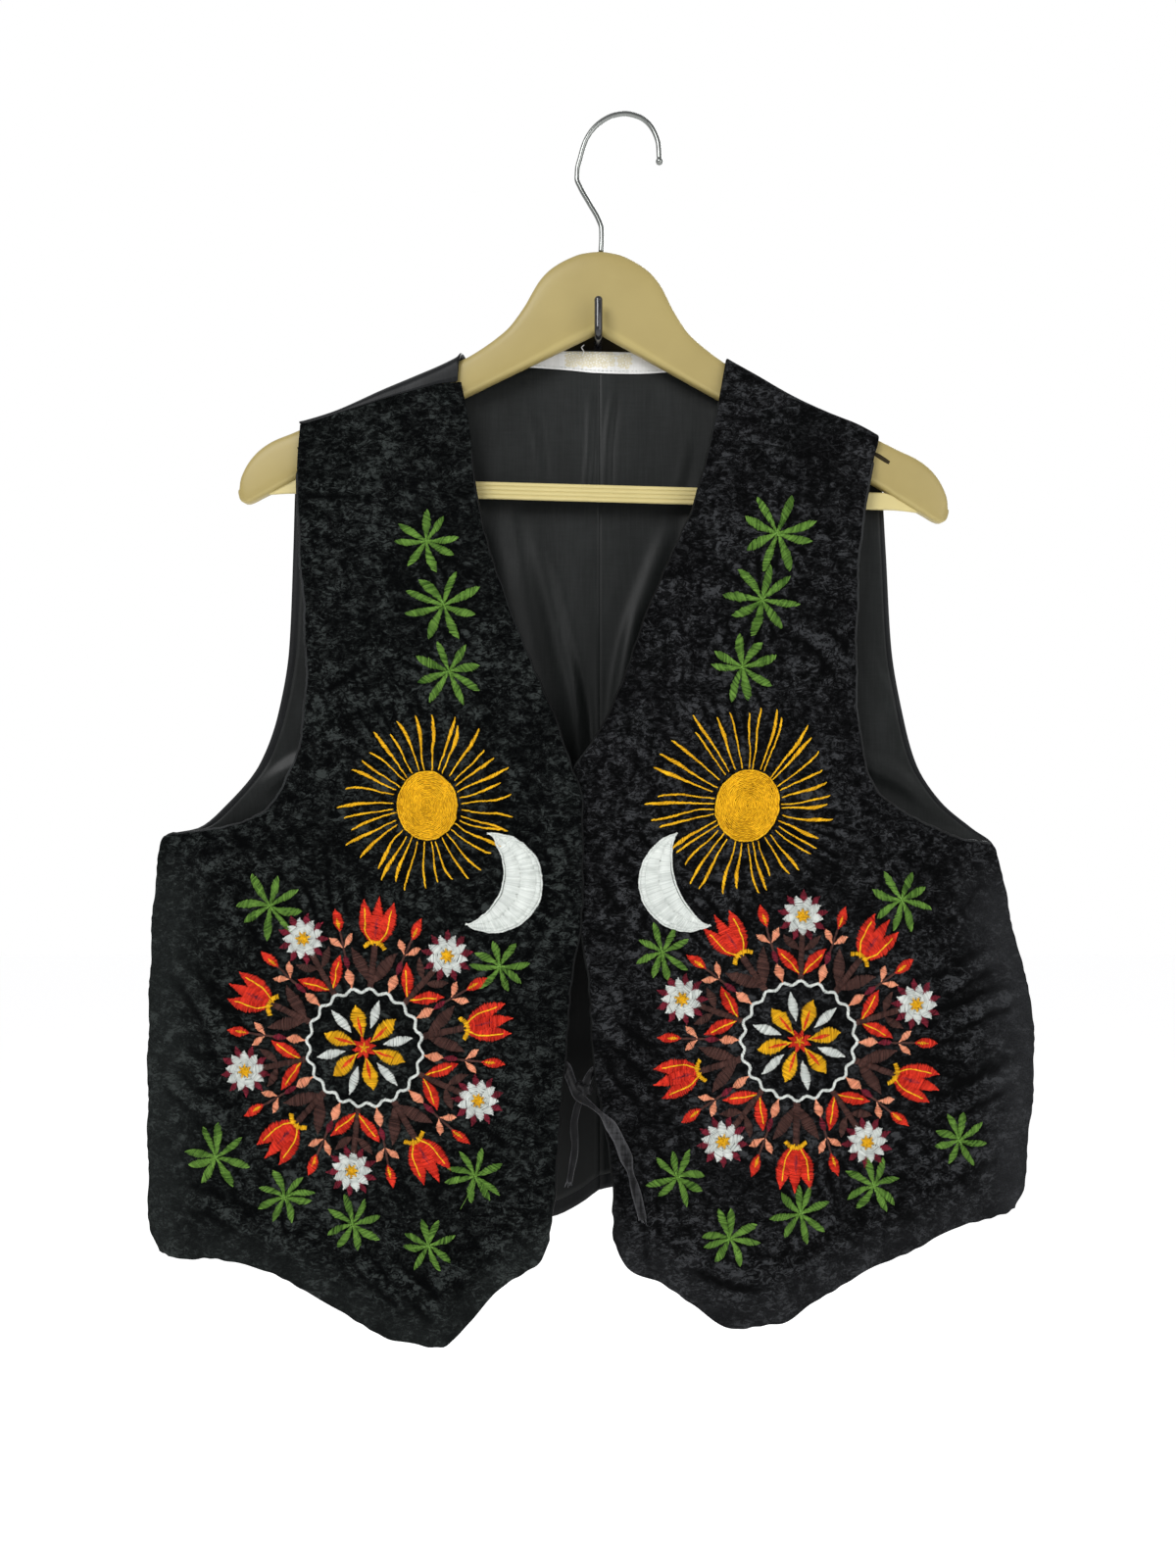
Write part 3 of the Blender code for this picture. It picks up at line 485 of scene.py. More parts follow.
def joined(shapes: list[Shape]) -> Shape:
    """Several bodies in one mesh, with their faces, finish numbers and values kept.

    Args:
        shapes: The bodies.

    Returns:
        One shape.
    """
    before = np.cumsum([0] + [len(s.points) for s in shapes[:-1]])
    made = Shape(
        np.concatenate([s.points for s in shapes]),
        np.concatenate([s.quads + n for s, n in zip(shapes, before)]),
        np.concatenate([s.triangles + n for s, n in zip(shapes, before)]),
    )
    made.quad_finish = np.concatenate([s.quad_finish for s in shapes])
    made.triangle_finish = np.concatenate([s.triangle_finish for s in shapes])
    for key in shapes[0].values:
        made.values[key] = np.concatenate([s.values[key] for s in shapes])
    return made


def tilt(points: Array) -> Array:
    """Turns the hanger about its crotch, right side down: a plane rotation of x and z.

    Args:
        points: Points of the level hanger.

    Returns:
        The turned points.
    """
    x, y, z = np.moveaxis(np.asarray(points, float), -1, 0)
    z = z - CROTCH_Z
    c, s = math.cos(HANGER_TILT), math.sin(HANGER_TILT)
    return np.stack([x * c + z * s, y, CROTCH_Z + z * c - x * s], axis=-1)


class NodeBench:
    """Shorthand for wiring a shader tree."""

    def __init__(self, tree: bpy.types.NodeTree) -> None:
        """Keeps the tree that nodes are added to."""
        self.tree = tree

    def add(self, kind: str, inputs: dict | None = None, **settings: object) -> bpy.types.Node:
        """Adds a node.

        Args:
            kind: The node's type name, after "ShaderNode" where it has that.
            inputs: Values or sockets for its inputs, by name or number.
            settings: Its own settings.

        Returns:
            The node.
        """
        node = self.tree.nodes.new(kind if kind.startswith("NodeGroup") else "ShaderNode" + kind)
        for key, value in settings.items():
            setattr(node, key, value)
        for key, value in (inputs or {}).items():
            self.feed(node.inputs[key], value)
        return node

    def feed(self, socket: bpy.types.NodeSocket, value: object) -> None:
        """Links a socket to another, or sets its value.

        Args:
            socket: The input.
            value: A value, or the output to link it to.
        """
        if isinstance(value, bpy.types.NodeSocket):
            self.tree.links.new(value, socket)
        else:
            socket.default_value = value

    def noise(self, vector: object, scale: float, detail: float, roughness: float = 0.5,
              distortion: float = 0.0) -> bpy.types.NodeSocket:
        """A noise texture's value over a vector."""
        values = {"Vector": vector, "Scale": scale, "Detail": detail, "Roughness": roughness}
        return self.add("TexNoise", values | {"Distortion": distortion}).outputs["Fac"]

    def stretched(self, vector: object, scale: Triple, turn: float = 0.0) -> bpy.types.NodeSocket:
        """A vector turned about y and then scaled axis by axis."""
        values = {"Vector": vector, "Rotation": (0.0, turn, 0.0), "Scale": scale}
        return self.add("Mapping", values).outputs["Vector"]

    def ramp(self, value: object, low: float, high: float) -> bpy.types.NodeSocket:
        """A value mapped from low and high to 0 and 1, eased."""
        values = {"Value": value, "From Min": low, "From Max": high}
        return self.add("MapRange", values, interpolation_type="SMOOTHSTEP").outputs["Result"]

    def line(self, value: object, gain: object, offset: object = 0.0) -> bpy.types.NodeSocket:
        """A value times a gain, plus an offset."""
        values = {0: value, 1: gain, 2: offset}
        return self.add("Math", values, operation="MULTIPLY_ADD").outputs[0]

    def mix(self, share: object, first: object, second: object) -> bpy.types.NodeSocket:
        """A colour between two others, by a share."""
        return self.add("Mix", {0: share, 6: first, 7: second}, data_type="RGBA").outputs[2]


class Effect(Enum):
    """The shader effects that several finishes share."""

    PILE = "crushed_pile"
    WEAVE = "satin_weave"
    GRAIN = "moulded_grain"
    STRAND = "thread_strand"


def effect_group(effect: Effect) -> bpy.types.NodeTree:
    """The node group of an effect, built the first time that it is asked for.

    Args:
        effect: Which effect.

    Returns:
        The group, with Colour, Roughness and Height outputs.
    """
    found = bpy.data.node_groups.get(effect.value)
    if found is not None:
        return found
    group = bpy.data.node_groups.new(effect.value, "ShaderNodeTree")
    for way, names, kind in (
        ("INPUT", ("Vector",), "Vector"),
        ("INPUT", ("Dark", "Light"), "Color"),
        ("INPUT", ("Scale", "Mask", "Lie"), "Float"),
        ("OUTPUT", ("Colour",), "Color"),
        ("OUTPUT", ("Roughness", "Height"), "Float"),
    ):
        for name in names:
            group.interface.new_socket(name, in_out=way, socket_type="NodeSocket" + kind)
    bench = NodeBench(group)
    inside = bench.add("NodeGroupInput").outputs
    scaling = {0: inside["Vector"], "Scale": inside["Scale"]}
    vector = bench.add("VectorMath", scaling, operation="SCALE").outputs[0]
    builders = {
        Effect.PILE: pile_values,
        Effect.WEAVE: weave_values,
        Effect.GRAIN: grain_values,
        Effect.STRAND: strand_values,
    }
    share, roughness, height = builders[effect](bench, vector, inside["Mask"], inside["Lie"])
    colour = bench.mix(share, inside["Dark"], inside["Light"])
    bench.add("NodeGroupOutput", {"Colour": colour, "Roughness": roughness, "Height": height})
    return group


def pile_values(bench: NodeBench, vector: object, mask: object, lie: object) -> tuple:
    """Crushed pile: blotches of crumbs with cracks across them, over a fine nap, with painted light and
    shade from the cloth's relief and a painted sheen where the pile lies flat.

    Args:
        bench: The group's bench.
        vector: Place on the cloth, in metres.
        mask: Where the pile lies flat, from 0 to 1; there the colour goes lighter and smoother, as a
            painted sheen.
        lie: Painted light and shade of the cloth's relief, from 0 to 1.

    Returns:
        Share of the light colour, roughness and height.
    """
    blotch = bench.noise(vector, 95, 9, 0.72, 0.4)
    crumb = bench.noise(bench.stretched(vector, (0.6, 1, 1), -0.5), 300, 5, 0.75, 1.2)
    nap = bench.noise(vector, 1300, 2, 0.7)
    wide = bench.ramp(bench.noise(vector, 15, 3, 0.55, 0.8), 0.34, 0.66)
    cracks = []
    for turn, scale in ((-0.5, 95), (0.9, 66)):
        vein = bench.noise(bench.stretched(vector, (0.5, 1, 1), turn), scale, 5, 0.6, 0.8)
        away = bench.add("Math", {0: bench.line(vein, 1, -0.5)}, operation="ABSOLUTE")
        cracks.append(bench.ramp(away.outputs[0], 0.035, 0.004))
    patches = bench.ramp(blotch, 0.42, 0.70)
    crumbs = bench.ramp(crumb, 0.45, 0.60)
    mixed = bench.line(bench.line(crumbs, 1.1, 0.14), patches, bench.line(crumbs, 0.24))
    mixed = bench.line(cracks[1], bench.line(crumbs, 0.35), mixed)
    # Painted light and shade: the last factor, from the relief, lightens raised places and slopes facing
    # up and to the right.
    for value, gain, offset in (
        (cracks[0], -0.8, 1), (nap, 1.6, 0.2), (wide, 0.75, 0.62), (lie, 2.2, -0.1)
    ):
        mixed = bench.line(mixed, bench.line(value, gain, offset))
    # Where the pile lies flat: a lighter, smoother painted sheen, still shaded by the relief.
    pressed = bench.line(mixed, 0.35, bench.line(nap, 0.95))
    pressed = bench.line(pressed, bench.line(lie, 1.2, 0.4))
    share = bench.line(mask, bench.line(mixed, -1, pressed), mixed)
    height = bench.line(nap, 0.15, bench.line(crumb, 0.5, blotch))
    return share, bench.line(patches, -0.2, 0.95), bench.line(cracks[0], -0.15, height)


def weave_values(bench: NodeBench, vector: object, mask: object, lie: object) -> tuple:
    """Satin: fine upright and level yarns with soft broader streaks, and the mask added to the lightness:
    painted shade low in the middle of the lining, painted highlight along the ties' folded edges.

    Args:
        bench: The group's bench.
        vector: Place on the surface, in metres.
        mask: What is added to the lightness.
        lie: Of no effect here.

    Returns:
        Share of the light colour, roughness and height.
    """
    yarn = bench.noise(bench.stretched(vector, (1, 1, 0.05)), 900, 2, 0.6)
    pick = bench.noise(bench.stretched(vector, (0.08, 1, 1)), 800, 2, 0.6)
    streak = bench.noise(bench.stretched(vector, (1, 1, 0.4)), 30, 4, 0.6, 0.4)
    share = bench.line(yarn, 0.25, bench.line(streak, 0.6, bench.line(pick, 0.15)))
    share = bench.line(bench.ramp(share, 0.34, 0.68), 1, mask)
    return share, bench.line(streak, -0.2, 0.58), bench.line(yarn, 0.6, bench.line(pick, 0.4))


def grain_values(bench: NodeBench, vector: object, mask: object, lie: object) -> tuple:
    """Moulded or painted skin: faint clouds, scuffs and a fine grain, and the mask as a painted
    highlight.

    Args:
        bench: The group's bench.
        vector: Place on the surface, in metres.
        mask: Where it is made lighter: on the hanger, a painted highlight along the arms' lower front
            edge.
        lie: Of no effect here.

    Returns:
        Share of the light colour, roughness and height.
    """
    cloud = bench.noise(vector, 26, 3, 0.55)
    scuff = bench.ramp(bench.noise(bench.stretched(vector, (0.3, 1, 1)), 160, 4), 0.62, 0.75)
    share = bench.line(cloud, 0.8, bench.line(scuff, 0.12, mask))
    return share, bench.line(cloud, 0.14, bench.line(scuff, 0.1, 0.36)), bench.noise(vector, 700, 2)


def strand_values(bench: NodeBench, vector: object, mask: object, lie: object) -> tuple:
    """Embroidery thread: the mask is a strand's own shade, with clouds and fine filaments.

    Args:
        bench: The group's bench.
        vector: Place on the surface, in metres.
        mask: A strand's own shade.
        lie: Of no effect here.

    Returns:
        Share of the light colour, roughness and height.
    """
    fibre = bench.noise(vector, 2600, 2, 0.6)
    cloud = bench.noise(vector, 120, 2)
    share = bench.line(mask, 0.7, bench.line(fibre, 0.3, bench.line(cloud, 1, -0.5)))
    return share, bench.line(fibre, 0.2, 0.38), fibre


@dataclass(frozen=True)
class Finish:
    """One finish: an effect with its own colours and values, on a Principled shader."""

    name: str
    effect: Effect
    dark: Colour
    light: Colour
    scale: float = 1.0
    bump: float = 0.3
    bump_height: float = 0.0004
    sheen: float = 0.0
    sheen_roughness: float = 0.4
    sheen_tint: Colour = (1.0, 1.0, 1.0)
    specular: float = 0.5
    metallic: float = 0.0
    coat: float = 0.0
    gloss: float = 0.0
    mask: str = ""
    lie: str = ""

    def build(self) -> bpy.types.Material:
        """Makes the material, or returns it if it is there.

        Returns:
            The material.
        """
        found = bpy.data.materials.get(self.name)
        if found is not None:
            return found
        made = bpy.data.materials.new(self.name)
        made.use_nodes = True
        bench = NodeBench(made.node_tree)
        values = {
            "Vector": bench.add("TexCoord").outputs["Object"], "Scale": self.scale,
            "Dark": (*self.dark, 1.0), "Light": (*self.light, 1.0), "Mask": 0.0, "Lie": 0.5,
        }
        for name, key in (("Mask", self.mask), ("Lie", self.lie)):
            if key:
                values[name] = bench.add("Attribute", attribute_name=key).outputs["Fac"]
        effect = bench.add("Group", node_tree=effect_group(self.effect))
        for name, value in values.items():
            bench.feed(effect.inputs[name], value)
        bump = {"Strength": self.bump, "Distance": self.bump_height, "Height": effect.outputs["Height"]}
        shader = made.node_tree.nodes["Principled BSDF"]
        for name, value in (
            ("Base Color", effect.outputs["Colour"]),
            ("Roughness", bench.line(effect.outputs["Roughness"], 1, -self.gloss)),
            ("Normal", bench.add("Bump", bump).outputs["Normal"]),
            ("Metallic", self.metallic),
            ("Specular IOR Level", self.specular),
            ("Sheen Weight", self.sheen),
            ("Sheen Roughness", self.sheen_roughness),
            ("Sheen Tint", (*self.sheen_tint, 1.0)),
            ("Coat Weight", self.coat),
        ):
            bench.feed(shader.inputs[name], value)
        return made


# The velvets' colour carries painted light and shade of the relief, and a painted sheen where the pile
# lies flat.
VELVET_LEFT = Finish(
    "velvet_grey_green", Effect.PILE, (0.0008, 0.0010, 0.0011), (0.0265, 0.0310, 0.0298),
    bump=0.7, bump_height=0.0014, sheen=0.012, sheen_tint=(0.80, 0.95, 0.98), specular=0.03,
    mask="pressed", lie="lie",
)
VELVET_RIGHT = Finish(
    "velvet_grey_violet", Effect.PILE, (0.0012, 0.0013, 0.0014), (0.0310, 0.0325, 0.0348),
    bump=0.7, bump_height=0.0014, sheen=0.012, sheen_tint=(0.92, 0.92, 1.0), specular=0.03,
    mask="pressed", lie="lie",
)
PIPING = Finish(
    "edge_roll_black", Effect.WEAVE, (0.004, 0.004, 0.004), (0.020, 0.022, 0.023),
    bump=0.2, sheen=0.02, specular=0.12,
)
# A darker copy of the edge roll's finish, for the front edges: painted shade.
PIPING_SHADED = Finish(
    "front_roll_black", Effect.WEAVE, (0.0015, 0.0015, 0.0015), (0.008, 0.009, 0.009),
    bump=0.2, sheen=0.01, specular=0.06,
)
SATIN = Finish(
    "back_satin_black", Effect.WEAVE, (0.003, 0.0035, 0.004), (0.009, 0.010, 0.011),
    bump=0.12, bump_height=0.0003, sheen=0.01, specular=0.14, gloss=0.08,
)
# Its mask darkens the lining low in the middle, behind the gap between the fronts: painted shade.
LINING = Finish(
    "lining_satin_charcoal", Effect.WEAVE, (0.0055, 0.0065, 0.0062), (0.0135, 0.0150, 0.0148),
    bump=0.12, bump_height=0.0003, sheen=0.01, specular=0.15, gloss=0.08, mask="worn",
)
TAPE = Finish(
    "neck_tape_white", Effect.WEAVE, (0.55, 0.55, 0.54), (0.74, 0.74, 0.73), sheen=0.05,
    specular=0.3,
)
RESIDUE = Finish(
    "neck_tape_residue", Effect.WEAVE, (0.40, 0.35, 0.22), (0.68, 0.64, 0.50), bump=0.9,
    scale=0.6, specular=0.3,
)
# Its edge mask lightens the ties' folded edges as a painted highlight, with their flat faces darker.
TIE = Finish(
    "tie_satin_black", Effect.WEAVE, (0.0025, 0.0025, 0.003), (0.065, 0.066, 0.070), bump=0.5,
    sheen=0.01, specular=0.12, gloss=0.05, mask="edge",
)
# Its edge mask paints a highlight along the arms' lower front edge.
BEIGE = Finish(
    "hanger_beige", Effect.GRAIN, (0.272, 0.213, 0.076), (0.360, 0.289, 0.108), bump=0.06,
    bump_height=0.0002, specular=0.35, mask="edge",
)
SLOT_SHADOW = Finish(
    "hanger_slot_shade", Effect.GRAIN, (0.016, 0.011, 0.004), (0.030, 0.022, 0.008), bump=0.05,
    specular=0.1,
)
BAR_CREAM = Finish(
    "bar_cream", Effect.GRAIN, (0.46, 0.385, 0.165), (0.56, 0.475, 0.215), bump=0.05,
    bump_height=0.0002, specular=0.35,
)
CHROME = Finish(
    "hook_chrome", Effect.GRAIN, (0.17, 0.18, 0.17), (0.30, 0.31, 0.30), bump=0.02,
    bump_height=0.0001, metallic=1.0, gloss=0.22,
)
BLACK_METAL = Finish(
    "rod_black", Effect.GRAIN, (0.004, 0.004, 0.005), (0.009, 0.009, 0.010), bump=0.03,
    bump_height=0.0001, coat=0.3, gloss=0.22,
)


class Thread(Enum):
    """Colours of the embroidery threads, as a dark and a light shade."""

    GREEN = ((0.020, 0.062, 0.004), (0.150, 0.298, 0.048))
    LIME = ((0.090, 0.200, 0.020), (0.200, 0.380, 0.080))
    GOLD = ((0.450, 0.220, 0.0005), (0.900, 0.510, 0.012))
    WHITE = ((0.450, 0.480, 0.455), (0.715, 0.745, 0.710))
    RED = ((0.340, 0.006, 0.002), (0.780, 0.045, 0.020))
    BROWN = ((0.026, 0.010, 0.008), (0.092, 0.040, 0.032))
    PEACH = ((0.580, 0.200, 0.105), (0.900, 0.400, 0.240))
    PLUM = ((0.070, 0.004, 0.009), (0.230, 0.016, 0.036))
    BLACK = ((0.001, 0.001, 0.001), (0.004, 0.004, 0.004))

    def finish(self) -> Finish:
        """The thread's finish."""
        return Finish(
            f"thread_{self.name.lower()}", Effect.STRAND, *self.value, bump=0.25,
            bump_height=0.0002, sheen=0.015, specular=0.12, mask="shade",
        )


THREADS = list(Thread)


@dataclass(frozen=True)
class Crease:
    """A fold in the cloth from one place to another, as x and z seen from the front."""

    start: Place
    end: Place
    width: float
    height: float
    bow: float = 0.0

    def relief(self, x: Array, z: Array) -> Array:
        """How far the fold lifts the cloth towards the viewer.

        The profile across it is a bell less a wider, shallower one beside it, and along it the
        height fades out towards both ends. A bow bends its line by a sine.

        Args:
            x: Places to the right.
            z: Places up.

        Returns:
            Lift at each place.
        """
        way = np.subtract(self.end, self.start)
        length = float(np.hypot(*way))
        way = way / length
        right, up = x - self.start[0], z - self.start[1]
        along = (right * way[0] + up * way[1]) / length
        off = right * -way[1] + up * way[0]
        off = off - self.bow * np.sin(math.pi * np.clip(along, 0, 1))
        fade = np.exp(-(((along - 0.5) / 0.46) ** 4))
        ridge = np.exp(-((off / self.width) ** 2))
        valley = np.exp(-(((off - 1.7 * self.width) / (1.3 * self.width)) ** 2))
        return self.height * fade * (ridge - 0.55 * valley)


def folded(*rows: tuple[float, ...]) -> tuple[Crease, ...]:
    """Creases from rows of x and z at the start and the end, width, height and bow."""
    return tuple(Crease(row[:2], row[2:4], *row[4:]) for row in rows)


@dataclass(frozen=True)
class Pucker:
    """Short wrinkles that radiate from a motif, where its stitches draw the cloth in."""

    centre: Place
    radius: float
    reach: float
    spokes: int
    depth: float

    def relief(self, x: Array, z: Array) -> Array:
        """Lift at places: two waves round the motif, fading away from its edge.

        Args:
            x: Places to the right.
            z: Places up.

        Returns:
            Lift at each place.
        """
        right, up = x - self.centre[0], z - self.centre[1]
        away = np.hypot(right, up)
        turn = np.arctan2(up, right)
        seed = self.centre[0] * 0.37 + self.centre[1] * 0.11
        wave = np.cos(self.spokes * turn + 1.3 * np.sin(3 * turn + seed))
        wave = wave + 0.7 * np.cos((self.spokes * 1.6 // 1) * turn + 2.0 * np.sin(2 * turn + seed))
        wave = wave * (0.65 + 0.35 * np.cos(5 * turn + seed * 2))
        near = np.exp(-(((away - self.radius) / self.reach) ** 2))
        return self.depth * wave * near * ease(away / self.radius)


@dataclass(frozen=True)
class Crush:
    """The small dents of crushed cloth: ridges where the sum of many plane waves crosses zero."""

    seed: int
    depth: float
    shortest: float = 6.0
    longest: float = 24.0
    count: int = 30

    def relief(self, x: Array, z: Array) -> Array:
        """Lift at places: one less the size of the waves' sum, centred on its middle.

        Args:
            x: Places to the right.
            z: Places up.

        Returns:
            Lift at each place.
        """
        draw = np.random.default_rng(self.seed)
        total = np.zeros_like(x)
        length = np.exp(draw.uniform(math.log(self.shortest), math.log(self.longest), self.count))
        turn = draw.uniform(0, math.pi, self.count)
        phase = draw.uniform(0, 2 * math.pi, self.count)
        for wave, way, start in zip(length, turn, phase):
            run = (x * math.cos(way) + z * math.sin(way)) * 2 * math.pi / wave
            total = total + np.cos(run + start) * (wave / self.longest) ** 0.8
        total = total / total.std()
        return self.depth * (np.clip(1.2 - np.abs(total) * 1.4, -1.0, 1.0) + 0.25 * total)


class Panel:
    """A surface over a grid of rows and columns that can be looked up from the front."""

    coarse_step = 6
    newton_steps = 9
    batch = 4000
    longest_step = 9
    least_area = 1e-6

    def __init__(self, middle: Array, thickness: float) -> None:
        """Keeps the cloth's middle surface, its normals and its wall.

        Args:
            middle: Grid of points, rows by columns by three.
            thickness: The wall.
        """
        self.middle = middle
        self.normal = grid_normals(middle)
        self.thickness = thickness

    def sample(self, values: Array, row: Array, column: Array) -> Array:
        """Values between grid points, by the four round each place in proportion.

        Args:
            values: A grid of values.
            row: Rows, as fractions.
            column: Columns, as fractions.

        Returns:
            The values there.
        """
        i = np.clip(row.astype(int), 0, values.shape[0] - 2)
        j = np.clip(column.astype(int), 0, values.shape[1] - 2)
        a, b = (row - i)[..., None], (column - j)[..., None]
        low = values[i, j] * (1 - b) + values[i, j + 1] * b
        high = values[i + 1, j] * (1 - b) + values[i + 1, j + 1] * b
        return low * (1 - a) + high * a

    def find(self, x: Array, z: Array) -> tuple[Array, Array]:
        """Rows and columns of places seen from the front.

        It starts at the nearest of a coarse set of grid points and takes Newton steps: the miss
        divided by the grid's own steps across and up.

        Args:
            x: Places to the right, S strands by M stations.
            z: Places up.

        Returns:
            Rows and columns, as fractions.
        """
        rows, columns = self.middle.shape[:2]
        coarse = self.middle[:: self.coarse_step, :: self.coarse_step]
        flat = coarse.reshape(-1, 3)
        nearest = np.zeros(len(x), int)
        for start in range(0, len(x), self.batch):
            part = slice(start, start + self.batch)
            away = (flat[None, :, 0] - x[part].mean(1)[:, None]) ** 2
            away = away + (flat[None, :, 2] - z[part].mean(1)[:, None]) ** 2
            nearest[part] = away.argmin(1)
        row, column = (
            repeated(k * self.coarse_step, x.shape[1]) for k in np.divmod(nearest, coarse.shape[1])
        )
        up, across = np.gradient(self.middle, axis=0), np.gradient(self.middle, axis=1)
        far = self.longest_step
        for _ in range(self.newton_steps):
            here, rise, run = (self.sample(v, row, column) for v in (self.middle, up, across))
            miss_x, miss_z = x - here[..., 0], z - here[..., 2]
            area = run[..., 0] * rise[..., 2] - run[..., 2] * rise[..., 0]
            area = np.where(np.abs(area) < self.least_area, self.least_area, area)
            column = column + np.clip((miss_x * rise[..., 2] - miss_z * rise[..., 0]) / area, -far, far)
            row = row + np.clip((run[..., 0] * miss_z - run[..., 2] * miss_x) / area, -far, far)
            row, column = np.clip(row, 0, rows - 1.001), np.clip(column, 0, columns - 1.001)
        return row, column

    def face(self, x: Array, z: Array) -> tuple[Array, Array]:
        """Points and unit normals of the viewer's face of the cloth, at places seen from the front.

        Args:
            x: Places to the right.
            z: Places up.

        Returns:
            Points and normals.
        """
        row, column = self.find(x, z)
        normal = unit(self.sample(self.normal, row, column))
        return self.sample(self.middle, row, column) + normal * self.thickness / 2, normal


@dataclass(frozen=True)
class FrontCut:
    """What one velvet front is cut and laid to."""

    name: str
    outer: Rows
    inner: Rows
    hem: Rows
    top: Rows
    mirrored: bool
    over_ridge: bool
    creases: tuple[Crease, ...]
    crush: Crush
    flat: Place
    area: float
    underarm: float
    corner_drop: float


class VelvetFront:
    """One velvet front: a crowned, creased wall with its edges rolled."""

    columns = 144
    rows = 226
    ridge_rows = 36
    ridge_from = 0.93
    rounding = (2.8, 2.2)
    roll_top = 0.95
    roll_end = 0.4
    roll_offset = 0.35

    def __init__(self, cut: FrontCut, puckers: list[Pucker], finish: Finish) -> None:
        """Works out the front's surface from its cut and the wrinkles round its motifs.

        Args:
            cut: Its cut.
            puckers: Wrinkles round its motifs.
            finish: Its velvet.
        """
        self.cut = cut
        self.finish = finish
        share = np.linspace(0, 1, self.columns)
        self.u = u = 1 - share if cut.mirrored else share
        v = np.linspace(0, 1, self.rows)
        if cut.over_ridge:
            low = np.linspace(0, self.ridge_from, self.rows - self.ridge_rows)[:-1]
            v = np.concatenate([low, np.linspace(self.ridge_from, 1, self.ridge_rows)])
        self.v = v
        grid = patch(cut.outer, cut.inner, cut.hem, cut.top, u, v)
        across, up = u[None, :], v[:, None]
        middle = np.sin(math.pi * across)
        belly = BELLY_DEPTH * middle * np.sin(math.pi * up) ** 2
        flutes = FLUTE_DEPTH * middle * (1 - up) ** 2 * np.cos(2 * math.pi * FLUTES_ACROSS * across)
        grid[:, :, 1] -= belly - flutes
        self.ruffle(grid, across, up)
        x, z = grid[:, :, 0], grid[:, :, 2]
        edge = ease(np.minimum(across, 1 - across) / 0.07) * ease(up / 0.04) * ease((1 - up) / 0.16)
        fold = sum(crease.relief(x, z) for crease in cut.creases)
        dents = cut.crush.relief(x, z) * (1 - 0.6 * self.pressed())
        drawn = sum(pucker.relief(x, z) for pucker in puckers)
        hem_wave = 0.5 * np.sin(across * 41 + 2 * np.sin(across * 13)) * ease((0.05 - up) / 0.05)
        relief = edge * (fold + drawn) + (0.15 + 0.85 * edge) * dents + hem_wave
        grid[:, :, 1] -= relief
        # Painted light and shade of the relief, kept for the velvet's colour.
        self.lie = self.painted_relief_shading(grid, relief, edge * (fold + drawn))
        self.panel = Panel(grid, VELVET_WALL)

    def ruffle(self, grid: Array, across: Array, up: Array) -> None:
        """Makes the cut edges uneven and the low outer corner round.

        The edges move by sines of their place, which fade away from the edge.

        Args:
            grid: The front's middle surface, changed in place.
            across: Share from the outer to the inner edge.
            up: Level from the hem.
        """
        x, z = grid[:, :, 0].copy(), grid[:, :, 2].copy()
        below = ease((0.93 - up) / 0.05)
        outer = ease((0.10 - across) / 0.10) * below
        inner = ease((across - 0.93) / 0.07) * below
        hem = ease((0.05 - up) / 0.05)
        corner = ease((0.04 - across) / 0.04) * ease((0.03 - up) / 0.03)
        grid[:, :, 0] += outer * (0.22 * np.sin(z * 0.62 + 2 * np.sin(z * 0.17)) + 0.5 * np.sin(z * 0.14))
        grid[:, :, 2] += outer * 0.35 * np.sin(x * 0.7 + 1.5 * np.sin(x * 0.23))
        grid[:, :, 0] += inner * 0.35 * np.sin(z * 0.33 + 2 * np.sin(z * 0.09))
        drop = ease((0.22 - across) / 0.22) * ease((0.10 - up) / 0.10)
        grid[:, :, 2] -= self.cut.corner_drop * drop
        grid[:, :, 0] -= self.rounding[0] * np.sign(x.mean()) * corner
        grid[:, :, 2] += self.rounding[1] * corner
        slow, fast = np.sin(x * 0.15 + np.sin(x * 0.05)), np.sin(x * 0.42 + 2 * np.sin(x * 0.13))
        grid[:, :, 2] += hem * (0.3 * fast + 0.6 * slow)

    @staticmethod
    def painted_relief_shading(grid: Array, relief: Array, folds: Array) -> Array:
        """Painted light and shade of the relief: lighter where it is raised and where its slopes face up
        and to the right, darker where they face away, scaled by their spread.

        Args:
            grid: The front's middle surface.
            relief: Lift of its folds and dents.
            folds: Lift of its folds alone, whose slopes count once more.

        Returns:
            Values round a half, from 0 to 1.
        """
        value = 0.5 + 0.09 * (relief - relief.mean()) / relief.std()
        for lift, weight in ((relief, 0.17), (folds, 0.13)):
            rise = np.gradient(lift, axis=0) / np.maximum(np.gradient(grid[:, :, 2], axis=0), 0.4)
            run = np.gradient(lift, axis=1) / np.gradient(grid[:, :, 0], axis=1)
            slope = -0.8 * rise - 0.45 * run
            value = value + weight * slope / slope.std()
        return np.clip(value, 0.0, 1.0)

    def pressed(self) -> Array:
        """Where the pile lies flat, from 0 to 1: beside the side seam and along the hem. The flattened
        pile is real and makes the dents shallower; the lighter, smoother colour that it gives the velvet
        is a painted sheen.

        Returns:
            A value for each grid point.
        """
        across, up = self.u[None, :], self.v[:, None]
        side = ease((0.16 - across) / 0.14) * ease((self.cut.underarm - up) / 0.08)
        hem = ease((0.07 - up) / 0.06) * 0.45
        return np.maximum(side * (0.9 if self.cut.mirrored else 0.6), hem + 0 * across)

    def build(self) -> None:
        """Makes the front's wall and the roll of its edges."""
        name = self.cut.name
